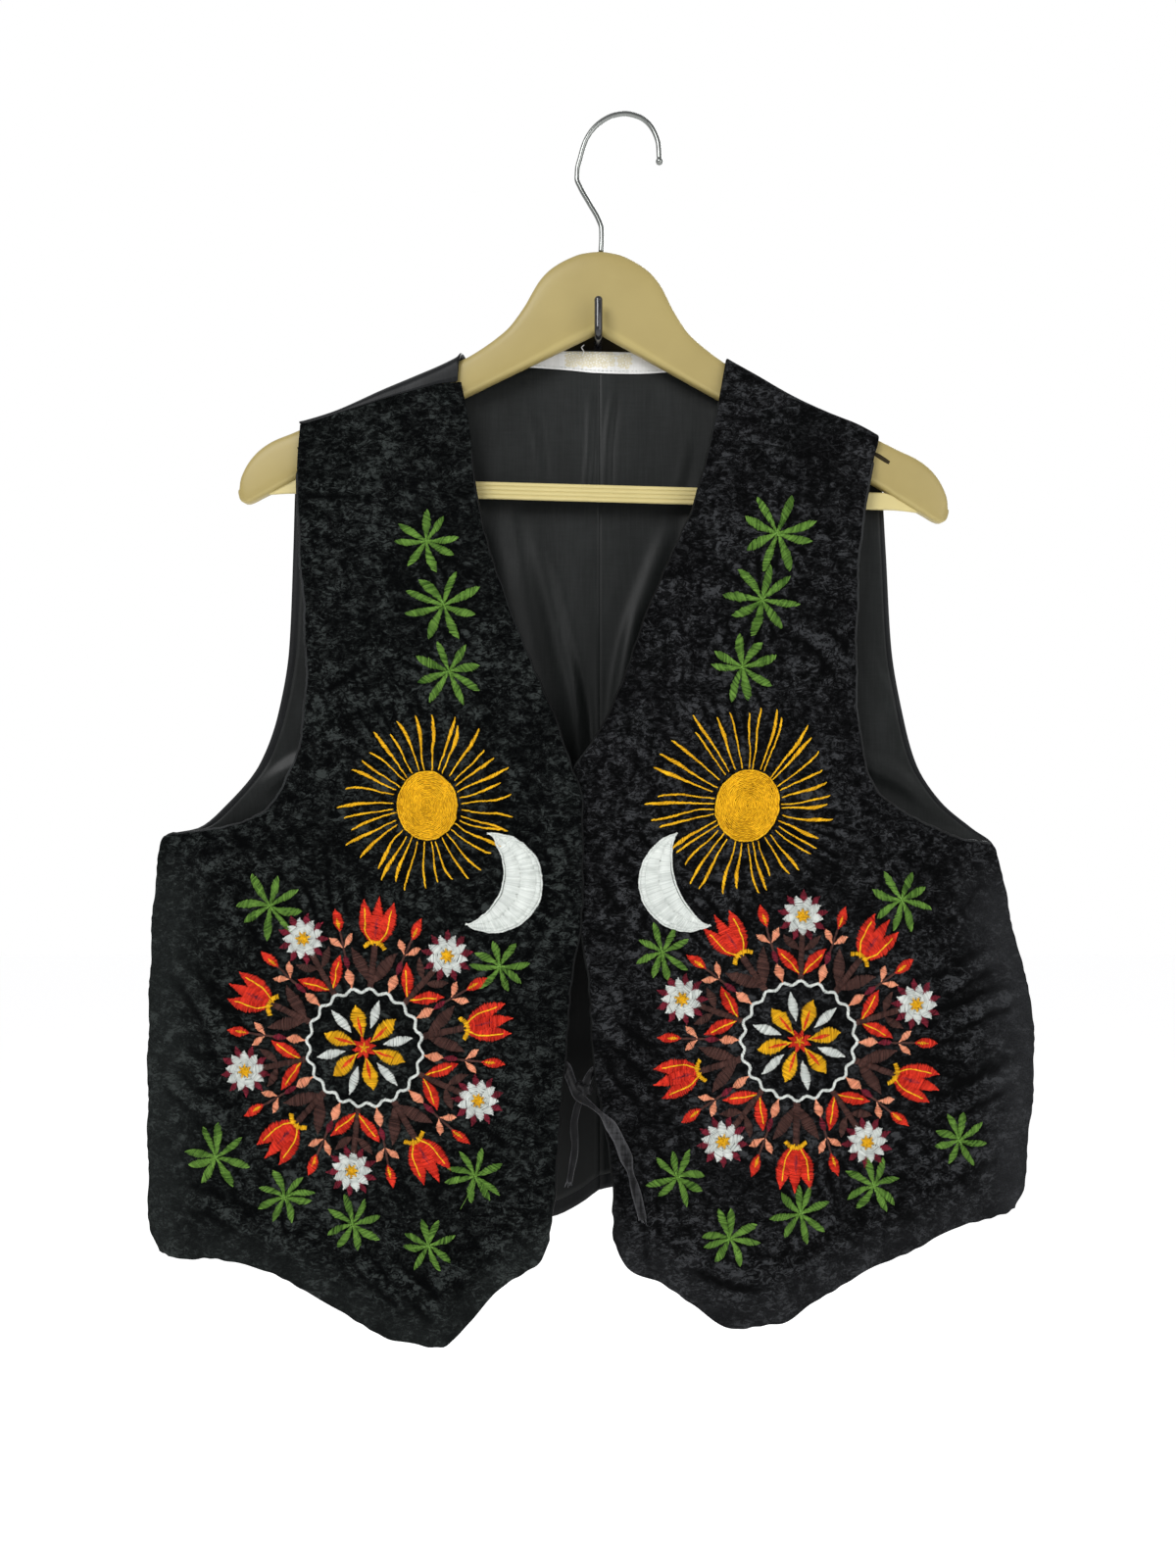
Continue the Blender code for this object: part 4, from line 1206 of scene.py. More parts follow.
        # Values for the velvet's colour: where the pile lies flat, which gets a painted sheen, and
        # painted light and shade of the relief.
        values = {"pressed": self.pressed(), "lie": self.lie}
        wall = closed_wall(self.panel.middle, VELVET_WALL, values)
        piece = wall.piece(f"{name}_velvet", "velvet", [self.finish], name)
        self.edge_roll()

    def edge_roll(self) -> None:
        """Lays a thin roll along the neck and front edge and along the armhole."""
        first, last = (-1, 0) if self.cut.mirrored else (0, -1)
        armhole = (self.v >= self.cut.underarm) & (self.v < self.roll_top)
        inner = (self.v > 0.03) & (self.v < self.roll_top)
        rolls = []
        for column, rows, radius in ((first, armhole, 0.95), (last, inner, 0.8)):
            line, lift = self.panel.middle[rows, column], self.panel.normal[rows, column]
            out = np.cross(unit(np.gradient(line, axis=0)), lift) * (1 if column == -1 else -1)
            size = np.full(len(line), radius)
            size[[0, -1]] = self.roll_end
            line = line + lift * self.roll_offset + out * self.roll_offset
            roll = tube(line, size, size, lift, 8)
            # The roll along the front edges takes the darker copy of the finish: painted shade.
            roll.quad_finish[:] = roll.triangle_finish[:] = column == last
            rolls.append(roll)
        joined(rolls).piece(f"{self.cut.name}_edge_roll", "velvet", [PIPING, PIPING_SHADED])


@dataclass(frozen=True)
class BackCut:
    """What one half of the back is cut and laid to."""

    side: str
    outer: Rows
    centre_x: float
    hem: Rows
    top: Rows
    arc: Rows
    seam: Rows | None
    mirrored: bool
    creases: tuple[Crease, ...]
    flat: Place
    area: float
    lining_flat: Place
    lining_area: float


@dataclass(frozen=True)
class SatinBack:
    """Half the satin back with its lining, both moved by the same folds."""

    cut: BackCut
    columns: int = 92
    rows: int = 142
    neck_columns: int = 24
    top_rows: int = 8
    top_from: float = 0.97
    lining_columns: int = 84
    lining_rows: int = 130
    ridge_rows: int = 22

    def base(self, u: Array, v: Array) -> Array:
        """The half's middle surface with its folds, up to the ridge and the neck edge.

        Args:
            u: Shares from the outer edge to the centre.
            v: Levels from the hem.

        Returns:
            Grid of points.
        """
        cut = self.cut
        centre = [(level, cut.centre_x, y, z) for level, y, z in CENTRE_BACK]
        grid = patch(cut.outer, centre, cut.hem, cut.top, u, v)
        across, up = u[None, :], v[:, None]
        fade = ease(across / 0.10) * ease((1 - across) / 0.02) * ease((1 - up) / 0.10)
        fold = sum(crease.relief(grid[:, :, 0], grid[:, :, 2]) for crease in cut.creases)
        drape = 1.5 * np.sin(across * 17 + 2.2 * np.sin(up * 5)) * (1 - up) ** 1.5
        grid[:, :, 1] -= fade * (fold + drape)
        return grid

    def back_grid(self) -> Array:
        """The back's middle surface, with the shoulder carried over the hanger's ridge.

        The rows over the ridge follow an arc of depth and height. A column goes along it by
        its share: all of it at the shoulder and none of it at the neck.

        Returns:
            Grid of points, with columns from left to right.
        """
        cut = self.cut
        share = np.linspace(0, 1, self.columns - self.neck_columns)
        neck = np.linspace(NECK_START - 0.01, NECK_END + 0.01, self.neck_columns)
        u = np.unique(np.concatenate([share, neck]))
        low = np.linspace(0, self.top_from, self.rows - self.top_rows)[:-1]
        high = np.linspace(self.top_from, 1, self.top_rows)
        grid = self.base(u, np.concatenate([low, high]))
        edge = grid[-1]
        part = np.clip((NECK_END - u) / (NECK_END - NECK_START), 0, 1)
        arc = np.asarray(cut.arc, float)
        y, height = (repeated(column, len(u)) for column in arc.T)
        if cut.seam is not None:
            seam = np.asarray(cut.seam, float)
            drop = np.interp(edge[:, 0], seam[:, 1], seam[:, 3]) + 3 * SEAM_GAP - edge[:, 2]
            height[-1] = np.maximum(height[-1], (height[-2] + drop) / 2)
            y = np.vstack([y, np.full(len(u), LEFT_LAST_ROW_Y)])
            height = np.vstack([height, drop])
        place = np.arange(len(y), dtype=float)
        count = np.linspace(0, place[-1], self.ridge_rows + 1)[1:, None]
        at = count * part[None, :]
        rows = np.repeat(edge[None], self.ridge_rows, axis=0)
        rows[:, :, 1] += smooth(place, y, at) - arc[0, 0]
        rows[:, :, 2] += smooth(place, height, at) + (1 - part)[None, :] * NECK_ROW_RISE * count
        if cut.seam is not None:
            rows[:, :, 0] += 3.6 * (count / place[-1]) * (1 - ease(u / 0.25))[None, :]
        grid = np.concatenate([grid, rows])
        return grid[:, ::-1] if cut.mirrored else grid

    def lining_grid(self) -> Array:
        """The lining's middle surface: the back's moved forward, and cut back from its edges.

        Returns:
            Grid of points, with columns from left to right.
        """
        u = np.linspace(0.025, 1, self.lining_columns)
        grid = self.base(u, np.linspace(0.02, 0.985, self.lining_rows))
        if self.cut.mirrored:
            grid = grid[:, ::-1]
        grid = grid + grid_normals(grid) * ((SATIN_WALL + LINING_WALL) / 2 + SEAM_GAP)
        grid[:, 0 if self.cut.mirrored else -1, 0] = self.cut.centre_x
        return grid

    def build(self) -> Array:
        """Makes the back and the lining.

        Returns:
            The lining's middle surface, for the tape that lies on it.
        """
        cut, side = self.cut, self.cut.side
        wall = closed_wall(self.back_grid(), SATIN_WALL, {}, rim=2)
        back = wall.piece(f"back_{side}_satin", "satin", [SATIN], f"back_{side}")
        grid = self.lining_grid()
        # Painted shade: the lining darkens towards the bottom in the middle, behind the gap between the
        # fronts.
        shade = ease((-400.0 - grid[:, :, 2]) / 60) * ease((100 - np.abs(grid[:, :, 0])) / 50)
        wall = closed_wall(grid, LINING_WALL, {"worn": -0.8 * shade}, rim=2)
        lining = wall.piece(f"lining_{side}_satin", "lining", [LINING], f"lining_{side}")
        return grid


@dataclass
class Plan:
    """Straight stitches on the flat: their ends, width, base height and thread."""

    start: Array
    end: Array
    width: Array
    base: Array
    thread: Array

    def placed(self, centre: Place, turn: float = 0.0) -> "Plan":
        """The plan turned about its origin, in degrees anticlockwise, and moved."""
        start, end = (spin(points, turn) + centre for points in (self.start, self.end))
        return Plan(start, end, self.width, self.base, self.thread)


def gathered(plans: list[Plan]) -> Plan:
    """Several plans as one."""
    return Plan(*(np.concatenate([getattr(p, key) for p in plans]) for key in vars(plans[0])))


@dataclass(frozen=True)
class Needle:
    """How stitches are worked: their spacing, width and unevenness."""

    pitch: float = 0.72
    width: float = 0.93
    jitter: float = 0.16

    def satin(self, line: Array, half: Array, lean: float, thread: Thread, draw: np.random.Generator,
              base: float = 0.0) -> Plan:
        """Satin stitches side by side across a line.

        A stitch starts half the width to one side and half the lean back, and ends as far to
        the other side and forward.

        Args:
            line: Points of the middle line.
            half: Half widths, evenly spaced along it.
            lean: How far a stitch runs along the line, in millimetres.
            thread: Its colour.
            draw: Source of the unevenness.
            base: How high it lies over other stitches.

        Returns:
            The stitches.
        """
        steps = np.linalg.norm(np.diff(np.asarray(line, float), axis=0), axis=1)
        count = max(3, int(float(steps.sum()) / self.pitch))
        middle = even_path(line, count)
        way = unit(np.gradient(middle, axis=0))
        side = np.stack([-way[:, 1], way[:, 0]], axis=1)
        reach = np.interp(np.linspace(0, 1, count), np.linspace(0, 1, len(half)), half)[:, None]
        reach = reach * (1 + self.jitter * 0.6 * draw.uniform(-1, 1, (count, 1)))
        shift = way * lean / 2
        miss = draw.uniform(-1, 1, (2, count, 2)) * self.jitter
        return Plan(
            middle - side * reach - shift + miss[0],
            middle + side * reach + shift + miss[1],
            np.full(count, self.width) * draw.uniform(0.85, 1.12, count),
            np.full(count, base),
            np.full(count, THREADS.index(thread)),
        )

    def rope(self, line: Array, width: float, thread: Thread, draw: np.random.Generator,
             base: float = 0.0) -> Plan:
        """Stem stitches that overlap along a line: short leaning satin stitches."""
        return self.satin(line, np.full(2, width / 4), 3.0, thread, draw, base)


def petal(length: float, half: float, root: float = 0.6, fullest: float = 0.45,
          bend: float = 0.0) -> tuple[Array, Array]:
    """A pointed petal's middle line along +X, and its half widths.

    The half width is a sine of the share, warped so that its top is at the fullest place, to
    the power 0.8. The line bends sideways by the square of the share.

    Args:
        length: From the centre to the tip.
        half: The greatest half width.
        root: Where it starts.
        fullest: Share of the length where it is widest.
        bend: Sideways bend at the tip.

    Returns:
        Points of the line, and half widths.
    """
    share = np.linspace(0, 1, 24)
    line = np.stack([root + (length - root) * share, bend * share**2], axis=1)
    warped = share ** (math.log(0.5) / math.log(fullest))
    return line, np.maximum(half * np.sin(math.pi * warped) ** 0.8, 0.12)


def spin(points: Array, degrees: float) -> Array:
    """Points on the flat turned about the origin, anticlockwise."""
    c, s = math.cos(math.radians(degrees)), math.sin(math.radians(degrees))
    return np.asarray(points, float) @ np.array([[c, s], [-s, c]])


class Motif:
    """A motif worked in thread, made on the flat about its own middle."""

    needle = Needle()

    def __init__(self, seed: int) -> None:
        """Starts the source of its unevenness."""
        self.draw = np.random.default_rng(seed)

    def satin(self, line: Array, half: Array, lean: float, thread: Thread, base: float = 0.0) -> Plan:
        """Satin stitches with the motif's needle."""
        return self.needle.satin(line, half, lean, thread, self.draw, base)

    def rope(self, line: Array, width: float, thread: Thread, base: float = 0.0) -> Plan:
        """Stem stitches with the motif's needle."""
        return self.needle.rope(line, width, thread, self.draw, base)

    def petals(self, count: int, length: float, half: float, thread: Thread, turn: float = 0.0,
               root: float = 0.6, spread: float = 0.0, base: float = 0.0,
               fullest: float = 0.45) -> list[Plan]:
        """Petals round the middle.

        Args:
            count: How many.
            length: From the middle to a tip.
            half: Greatest half width.
            thread: Their colour.
            turn: Angle of the first, in degrees.
            root: Where they start.
            spread: Unevenness of their length and angle, as a share.
            base: Height over other stitches.
            fullest: Share where they are widest.

        Returns:
            One plan for each petal.
        """
        made = []
        for k in range(count):
            long = length * (1 + spread * self.draw.uniform(-1, 0.6))
            line, widths = petal(long, half, root, fullest)
            angle = turn + 360 * k / count + spread * 55 * self.draw.uniform(-1, 1)
            made.append(self.satin(spin(line, angle), widths, 1.4, thread, base))
        return made


class LeafSprig(Motif):
    """Eight broad, blunt leaves round a small knot."""

    leaves = 8
    root = 1.6
    usual_reach = 19.0
    blade = np.array([(0.0, 0.7), (0.25, 1.7), (0.6, 2.95), (0.85, 2.5), (1.0, 1.2)])

    def plan(self, reach: float) -> Plan:
        """The sprig's stitches.

        A leaf's half width follows the blade's table along its share, and it bends sideways by
        the square of the share.

        Args:
            reach: From its middle to a leaf's tip.

        Returns:
            The plan.
        """
        made = []
        draw = self.draw.uniform
        share = np.linspace(0, 1, 20)
        for k in range(self.leaves):
            long = reach * draw(0.86, 1.08)
            line = np.stack([self.root + (long - self.root) * share, draw(-3.4, 3.4) * share**2], 1)
            size = math.sqrt(reach / self.usual_reach)
            half = np.interp(share, *self.blade.T) * size * draw(0.85, 1.1)
            line = spin(line, 360 / self.leaves * k + draw(-9, 9))
            lean = self.draw.choice([-3.4, 3.4]) * draw(0.7, 1.1)
            made.append(self.satin(line, half, lean, Thread.GREEN))
            if draw() < 0.5:
                made.append(self.rope(line[2:14], 0.4, Thread.GREEN, 0.25))
        made += self.petals(4, 2.6, 0.7, Thread.LIME, root=0.1, base=0.5)
        return gathered(made)


class Sun(Motif):
    """A plain round disc with a cord round it, and wavy rays that thicken outwards."""

    filling = Needle(pitch=0.95)
    cord_inset = 0.6
    ring_inset = 1.55
    ring_step = 0.9
    longest_angle = 118.0

    def plan(self, disc: Triple, reach: float, rays: int, longer: float) -> Plan:
        """The sun's stitches.

        Args:
            disc: Half width and half height of the disc, and its lean in degrees clockwise.
            reach: Greatest distance to a ray's tip.
            rays: How many rays.
            longer: Share by which the rays up to the left are longer.

        Returns:
            The plan.
        """
        made = []
        wide, tall, lean = disc
        draw = self.draw.uniform
        turn = np.linspace(0, 2 * math.pi, 90)
        for k, inset in enumerate([self.cord_inset, *np.arange(self.ring_inset, wide, self.ring_step)]):
            share = 1 - inset / wide
            ring = np.stack([wide * share * np.cos(turn + k), tall * share * np.sin(turn + k)], 1)
            base, width = (1.1, 2.0) if k == 0 else (0.35 + 0.4 * (1 - share), 1.2)
            made.append(self.filling.rope(spin(ring, -lean), width, Thread.GOLD, self.draw, base))
        share = np.linspace(0, 1, 12)
        for k in range(rays):
            angle = 360 / rays * (k + 0.5 + 0.28 * draw(-1, 1))
            thick = draw() < 0.5
            far = reach * draw(0.84, 1.0) * (1.0 if thick else 0.94)
            far *= 1 + longer * math.cos(math.radians(angle - self.longest_angle))
            near = wide + 1.0 + draw(0, 2.6) + 1.8 * abs(math.sin(math.radians(angle)))
            bow = draw(-1.0, 5.5)
            wave = draw(-0.6, 0.6) * np.sin(share * 2 * math.pi)
            line = np.stack([near + (far - near) * share, bow * share**2 + wave], axis=1)
            tip = draw(1.05, 1.5) if thick else draw(0.5, 0.8)
            half = np.interp(share, [0, 0.35, 0.75, 1], [0.06, 0.35 * tip, tip, 0.35])
            made.append(self.satin(spin(line, angle), half, 2.4, Thread.GOLD))
        return gathered(made)


class Crescent(Motif):
    """A plain crescent in white, worked in bands of satin stitch from its inner to its outer edge."""

    bands = ((0.0, 0.50, 0.05), (0.37, 0.90, 0.05), (0.80, 1.0, 0.0))
    count = 230
    edge_points = 90
    width = 0.95
    height = 0.25
    swell = 1.8

    def plan(self, tips: tuple[Place, Place], centre: Place, hollow: float) -> Plan:
        """The crescent's stitches.

        The outer edge turns about the centre from tip to tip, its distance going evenly from
        the first tip's to the second's plus the swell times a sine. The inner edge is the straight
        line between the tips, plus the way out times the hollow times a sine to the power 0.7.

        Args:
            tips: The top and the bottom tip.
            centre: What the outer edge turns about.
            hollow: How far the inner edge stands out, to the right if positive.

        Returns:
            The plan.
        """
        top, bottom = (np.asarray(tip, float) for tip in tips)
        out = unit(np.array([-(bottom - top)[1], (bottom - top)[0]]))
        away = [tip - np.asarray(centre) for tip in (top, bottom)]
        first, last = (math.atan2(step[1], step[0]) for step in away)
        if hollow < 0:
            last += 2 * math.pi

        def edges(share: Array) -> tuple[Array, Array]:
            """Points of the inner and the outer edge at shares of the way down.

            Args:
                share: Shares of the way down.

            Returns:
                Both edges, N by two.
            """
            bell = np.sin(math.pi * share)[:, None]
            inner = top + share[:, None] * (bottom - top) + out * bell**0.7 * hollow
            turn = first + share * (last - first)
            reach = np.interp(share, [0, 1], [np.hypot(*step) for step in away])
            reach = reach + self.swell * bell[:, 0]
            outer = centre + np.stack([reach * np.cos(turn), reach * np.sin(turn)], axis=1)
            return inner, outer

        made = []
        count = self.count
        inner, outer = edges(np.linspace(0.004, 0.996, count))
        for low, high, ragged in self.bands:
            miss = self.draw.uniform(-1, 1, (2, count, 1)) * ragged
            start = np.clip(low + miss[0] * (low > 0), 0, 1)
            end = np.clip(high + miss[1] * (high < 0.6), 0, 1)
            made.append(
                Plan(
                    inner + (outer - inner) * start, inner + (outer - inner) * end,
                    np.full(count, self.width) * self.draw.uniform(0.85, 1.1, count),
                    np.full(count, self.height), np.full(count, THREADS.index(Thread.WHITE)),
                )
            )
        for edge, width in zip(edges(np.linspace(0, 1, self.edge_points)), (1.4, 1.9)):
            made.append(self.rope(edge, width, Thread.WHITE, 0.6))
        return gathered(made)


class Garland(Motif):
    """A round garland of tulips, daisies, buds and a rosette, in the folk manner."""

    stem_start = 38.0
    ring_radius = 35.5
    ring_wave = 1.3

    def blade(self, shape: tuple[float, ...], at: Place, angle: float, lean: float,
              thread: Thread, base: float = 0.1) -> Plan:
        """A petal of the given shape, turned by the angle and moved."""
        line, half = petal(*shape)
        return self.satin(spin(line, angle) + at, half, lean, thread, base)

    def stem(self, end: float, half: float) -> Plan:
        """A straight brown stem out from the ring."""
        line = [[self.stem_start, 0.0], [end, 0.0]]
        return self.satin(line, np.full(3, half), 1.2, Thread.BROWN)

    def tulip(self) -> list[Plan]:
        """A tulip that grows along +X: stem, two leaves, a gold cup and three petals.

        Returns:
            The plans of its parts.
        """
        made = [self.stem(64.0, 2.3)]
        for side in (-1, 1):
            turn, root = 27 * side, (63.5, 1.2 * side)
            leaf, outer = (23, 4.3, 0.4, 0.5, 2.5 * side), (27.5, 5.5, 0.5, 0.5, -5 * side)
            made.append(self.blade(leaf, (40.5, 1.4 * side), turn, 1.4, Thread.BROWN))
            made.append(self.blade(outer, root, turn, 1.6, Thread.RED))
            line = spin([[0.8, 0], [11, 0.6 * side], [22, -3.4 * side]], turn)
            made.append(self.rope(line + root, 0.9, Thread.GOLD, 0.7))
        made.append(self.blade((28, 5, 0.5, 0.42), (65, 0), 0, 1.6, Thread.RED, 0.5))
        made.append(self.blade((12, 1.6, 0.5, 0.45), (69, 0), 0, 1.0, Thread.PLUM, 1.0))
        cup = [[62, -6.4], [64.6, -3.4], [65.6, 0], [64.6, 3.4], [62, 6.4]]
        made.append(self.satin(cup, np.full(3, 1.5), 0.5, Thread.GOLD, 0.8))
        return made

    def daisy(self) -> list[Plan]:
        """A daisy along +X: stem, red leaves, white petals with a gold middle and plum points.

        Returns:
            The plans of its parts.
        """
        made = [self.stem(66.0, 2.1)]
        for side in (-1, 1):
            low, high = (20.5, 4.5, 0.4, 0.5, 2 * side), (13, 3, 0.4, 0.5, -2 * side)
            made.append(self.blade(low, (41, 1.4 * side), 36 * side, 1.4, Thread.RED))
            line = spin([[2, 0], [9, 0.5 * side], [16, 1.6 * side]], 38 * side)
            made.append(self.rope(line + (41, side), 0.8, Thread.GOLD, 0.7))
            made.append(self.blade(high, (56, 1.4 * side), 58 * side, 1.2, Thread.BROWN))
        head = self.petals(9, 12.5, 3.5, Thread.WHITE, turn=20, root=1.6, spread=0.03, fullest=0.6)
        head += self.petals(9, 15.6, 2.4, Thread.PLUM, root=8.6, spread=0.02)
        head += self.petals(7, 4.0, 1.5, Thread.GOLD, root=0.1, base=0.8)
        return made + [plan.placed((77.0, 0.0)) for plan in head]

    def bud(self) -> list[Plan]:
        """A peach bud on the vine, and a small gold and red one out between the heads.

        Returns:
            The plans of its parts.
        """
        blade = self.blade
        made = [blade((11.5, 3.3, 0.2, 0.6), (37.6, 0), 0, 1.0, Thread.PEACH, 0.2)]
        made.append(blade((9, 2.2, 0.2, 0.5), (49.5, 0), 0, 0.8, Thread.PLUM))
        made.append(self.rope([[58, 0], [74, 0]], 2.4, Thread.BROWN))
        for side in (-1, 1):
            made.append(blade((9.5, 2.5, 0.3, 0.6), (63, 0.6 * side), 42 * side, 1.0, Thread.PEACH))
        made.append(blade((14, 3.6, 0.3, 0.5), (73, 0), 0, 1.2, Thread.RED, 0.2))
        made.append(blade((6, 1.2, 0.3, 0.5), (75, 0), 0, 0.8, Thread.GOLD, 0.8))
        return made

    def middle(self) -> list[Plan]:
        """The rosette in the vine: gold and white petals round a red middle.

        Returns:
            The plans of its parts.
        """
        made = self.petals(6, 26.0, 5.4, Thread.GOLD, turn=30, root=5.5, fullest=0.6)
        made += self.petals(6, 19.0, 1.3, Thread.RED, turn=30, root=8.5, base=0.7, fullest=0.55)
        made += self.petals(6, 30.0, 3.3, Thread.WHITE, root=13.0, fullest=0.5)
        made += self.petals(8, 7.0, 2.0, Thread.RED, root=0.3, base=0.3)
        return made + self.petals(5, 2.8, 0.9, Thread.GOLD, root=0.1, base=0.9)

    def plan(self, pairs: int) -> Plan:
        """The garland's stitches.

        The vine's ring has a radius that waves by the cosine of four turns a pair.

        Args:
            pairs: How many tulips, with a daisy after each.

        Returns:
            The plan.
        """
        made = self.middle()
        turn = np.linspace(0, 2 * math.pi, 220)
        radius = self.ring_radius + self.ring_wave * np.cos(4 * pairs * turn)
        ring = np.stack([radius * np.cos(turn), radius * np.sin(turn)], axis=1)
        made.append(self.satin(ring, np.full(3, 1.0), 1.6, Thread.WHITE, 0.2))
        step = 360 / (2 * pairs)
        heads = [(self.daisy if k % 2 else self.tulip, k) for k in range(2 * pairs)]
        heads += [(self.bud, k + 0.5) for k in range(2 * pairs)]
        for part, k in heads:
            made += [plan.placed((0, 0), k * step) for plan in part()]
        return gathered(made)


@dataclass(frozen=True)
class Embroidery:
    """Threads worked on a panel: each stitch is a closed strand that dives into the cloth."""

    panel: Panel
    side: str
    stations: tuple = (0.0, 0.13, 0.5, 0.87, 1.0)
    rise: tuple = (0.0, 0.75, 1.0, 0.75, 0.0)
    girth: tuple = (0.84, 1.0, 0.84)
    sunk: float = 0.35
    corners: int = 3
    least_height: float = 0.34
    growth: float = 0.05
    most_growth: float = 0.45
    underside: float = 0.35
    crest: float = 0.8

    def strands(self, plan: Plan, seed: int) -> Shape:
        """The strands of a plan, laid on the cloth.

        Along a strand the height is its base plus a part that grows with the stitch's length,
        and both its ends are sunk below the cloth's face. Across, it is a triangle, flat side
        down, that smooth shading rounds.

        Args:
            plan: Stitches on the flat, placed.
            seed: Seed of the strands' own shades.

        Returns:
            All strands in one shape.
        """
        at = np.array(self.stations)[None, :, None]
        flat = plan.start[:, None] * (1 - at) + plan.end[:, None] * at
        face, normal = self.panel.face(flat[..., 0], flat[..., 1])
        length = np.linalg.norm(plan.end - plan.start, axis=1)
        top = plan.base + self.least_height + np.minimum(self.growth * length, self.most_growth)
        lift = top[:, None] * np.array(self.rise)[None, :]
        lift[:, [0, -1]] = -self.sunk
        line = face + normal * lift[..., None]
        way = unit(np.gradient(line, axis=1))[:, 1:-1]
        side = unit(np.cross(normal[:, 1:-1], way))
        up = np.cross(way, side)
        half = (plan.width[:, None] * np.array(self.girth)[None, :] / 2)[..., None]
        low = line[:, 1:-1] - up * half * self.underside
        high = line[:, 1:-1] + up * half * self.crest
        ring = np.stack([low + side * half, high, low - side * half], axis=2)
        count, rings = len(length), len(self.girth)
        points = [ring.reshape(count, -1, 3), line[:, :1], line[:, -1:]]
        each = rings * self.corners + 2
        base = (np.arange(count) * each)[:, None, None]
        faces = ring_faces(rings, self.corners)
        quads, triangles = ((f + base).reshape(-1, f.shape[1]) for f in faces)
        made = Shape(np.concatenate(points, axis=1).reshape(-1, 3), quads, triangles)
        made.quad_finish, made.triangle_finish = (np.repeat(plan.thread, len(f)) for f in faces)
        made.values["shade"] = np.repeat(np.random.default_rng(seed).uniform(0, 1, count), each)
        return made

    def work(self, name: str, plan: Plan, seed: int) -> None:
        """Makes one piece of embroidery with only the threads that it uses.

        Args:
            name: What it shows.
            plan: Its stitches, placed.
            seed: Seed of the shades.
        """
        shape = self.strands(plan, seed)
        used = sorted(set(plan.thread.tolist()))
        number = np.full(len(THREADS), -1)
        number[used] = np.arange(len(used))
        shape.quad_finish = number[shape.quad_finish]
        shape.triangle_finish = number[shape.triangle_finish]
        finishes = [THREADS[k].finish() for k in used]
        shape.piece(f"embroidery_{self.side}_{name}", "velvet", finishes)


@dataclass(frozen=True)
class Tie:
    """A flat satin tie end, as a free cord."""

    name: str
    stations: Rows
    points: int
    ripple: float
    widths: Rows
    ring: int = 18
    loose_threads: int = 9
    loose_points: int = 7
    loose_radius: float = 0.16

    def build(self) -> None:
        """Makes the tie: a flattened tube with a fold down its middle, and its frayed end.

        The wide radius follows the table of widths, with a slow sine where it is creased, and
        the cross-section's flat sides bow a little by its cosine.
        """
        path = even_path(self.stations, self.points)
        run = np.linspace(0, 1, self.points)
        wide = curve(self.widths, run)[:, 0] * (1 + 0.06 * np.sin(run * 31 + self.ripple))
        deep = 0.72 + 0.14 * np.sin(run * 47 + self.ripple)
        deep[-1] = 0.45
        shape = tube(path, wide, deep, FORWARD, self.ring)
        turn = np.arange(self.ring) * 2 * math.pi / self.ring
        bow = 0.42 * np.cos(2 * turn)[None, :] * (0.6 + 0.4 * np.sin(run * 23))[:, None]
        shape.points[:-2, 1] += bow.ravel()
        # Painted highlight: lighter along the tie's folded edges, darker over its flat faces.
        fold = np.tile(0.95 * np.abs(np.cos(turn)) ** 4 - 0.38, self.points)
        shape.values["edge"] = np.concatenate([fold, [0.0, 0.0]])
        piece = shape.piece(f"{self.name}_satin", "tie", [TIE], self.name)
        length = float(np.linalg.norm(np.diff(path, axis=0), axis=1).sum()) * MM
        LOG.info("%s: %.4f m long", self.name, length)
        self.fray(path, wide[-1])

    def fray(self, path: Array, half: float) -> None:
        """Makes loose threads at the tie's far end, across its half width.

        Args:
            path: The tie's middle line.
            half: Half width at its far end.
        """
        draw = np.random.default_rng(int(10 * self.ripple) + 3)
        threads = []
        way = unit(path[-1] - path[-4])
        thin = np.full(self.loose_points, self.loose_radius)
        for off in np.linspace(-0.8, 0.8, self.loose_threads):
            start = path[-1] + [off * half, 0.0, 0.0] - way
            end = start + way * draw.uniform(2.2, 4.2) + draw.uniform(-1.4, 1.4, 3)
            bend = (start + end) / 2 + draw.uniform(-0.5, 0.5, 3)
            line = even_path([start, bend, end], self.loose_points)
            threads.append(tube(line, thin, thin, FORWARD, 5))
        fray = joined(threads)
        fray.values["edge"] = np.full(len(fray.points), 0.8)
        fray.piece(f"{self.name}_frayed_end", "tie", [TIE])


@dataclass(frozen=True)
class TieKnot:
    """The half knot where the ties cross: two soft loops round both."""

    middle: Triple = (-8.9, -61.6, -469.0)
    half_width: float = 5.0
    half_depth: float = 3.0

    def build(self) -> None:
        """Makes the knot from two closed wraps.

        A wrap is an ellipse leaning across the ties: cosine and sine of its turn times its half
        sizes, with its ends meeting behind.
        """
        turn = np.linspace(-math.pi * 0.5, math.pi * 1.5, 40)
        wraps = []
        for lean, shift in ((0.55, -1.3), (-0.5, 1.5)):
            across = self.half_width * np.cos(turn)
            rise = across * math.sin(lean) + shift + 0.5 * np.sin(2 * turn)
            offset = [across * math.cos(lean), -self.half_depth * np.sin(turn), rise]
            line = np.asarray(self.middle) + np.stack(offset, axis=1)
            wide = 2.1 + 0.35 * np.sin(turn * 2)
            around = unit(line - np.asarray(self.middle))
            wraps.append(tube(line, wide, np.full(len(turn), 0.85), around, 12))
        knot = joined(wraps)
        knot.values["edge"] = np.full(len(knot.points), -0.25)
        knot.piece("tie_knot", "tie", [TIE])


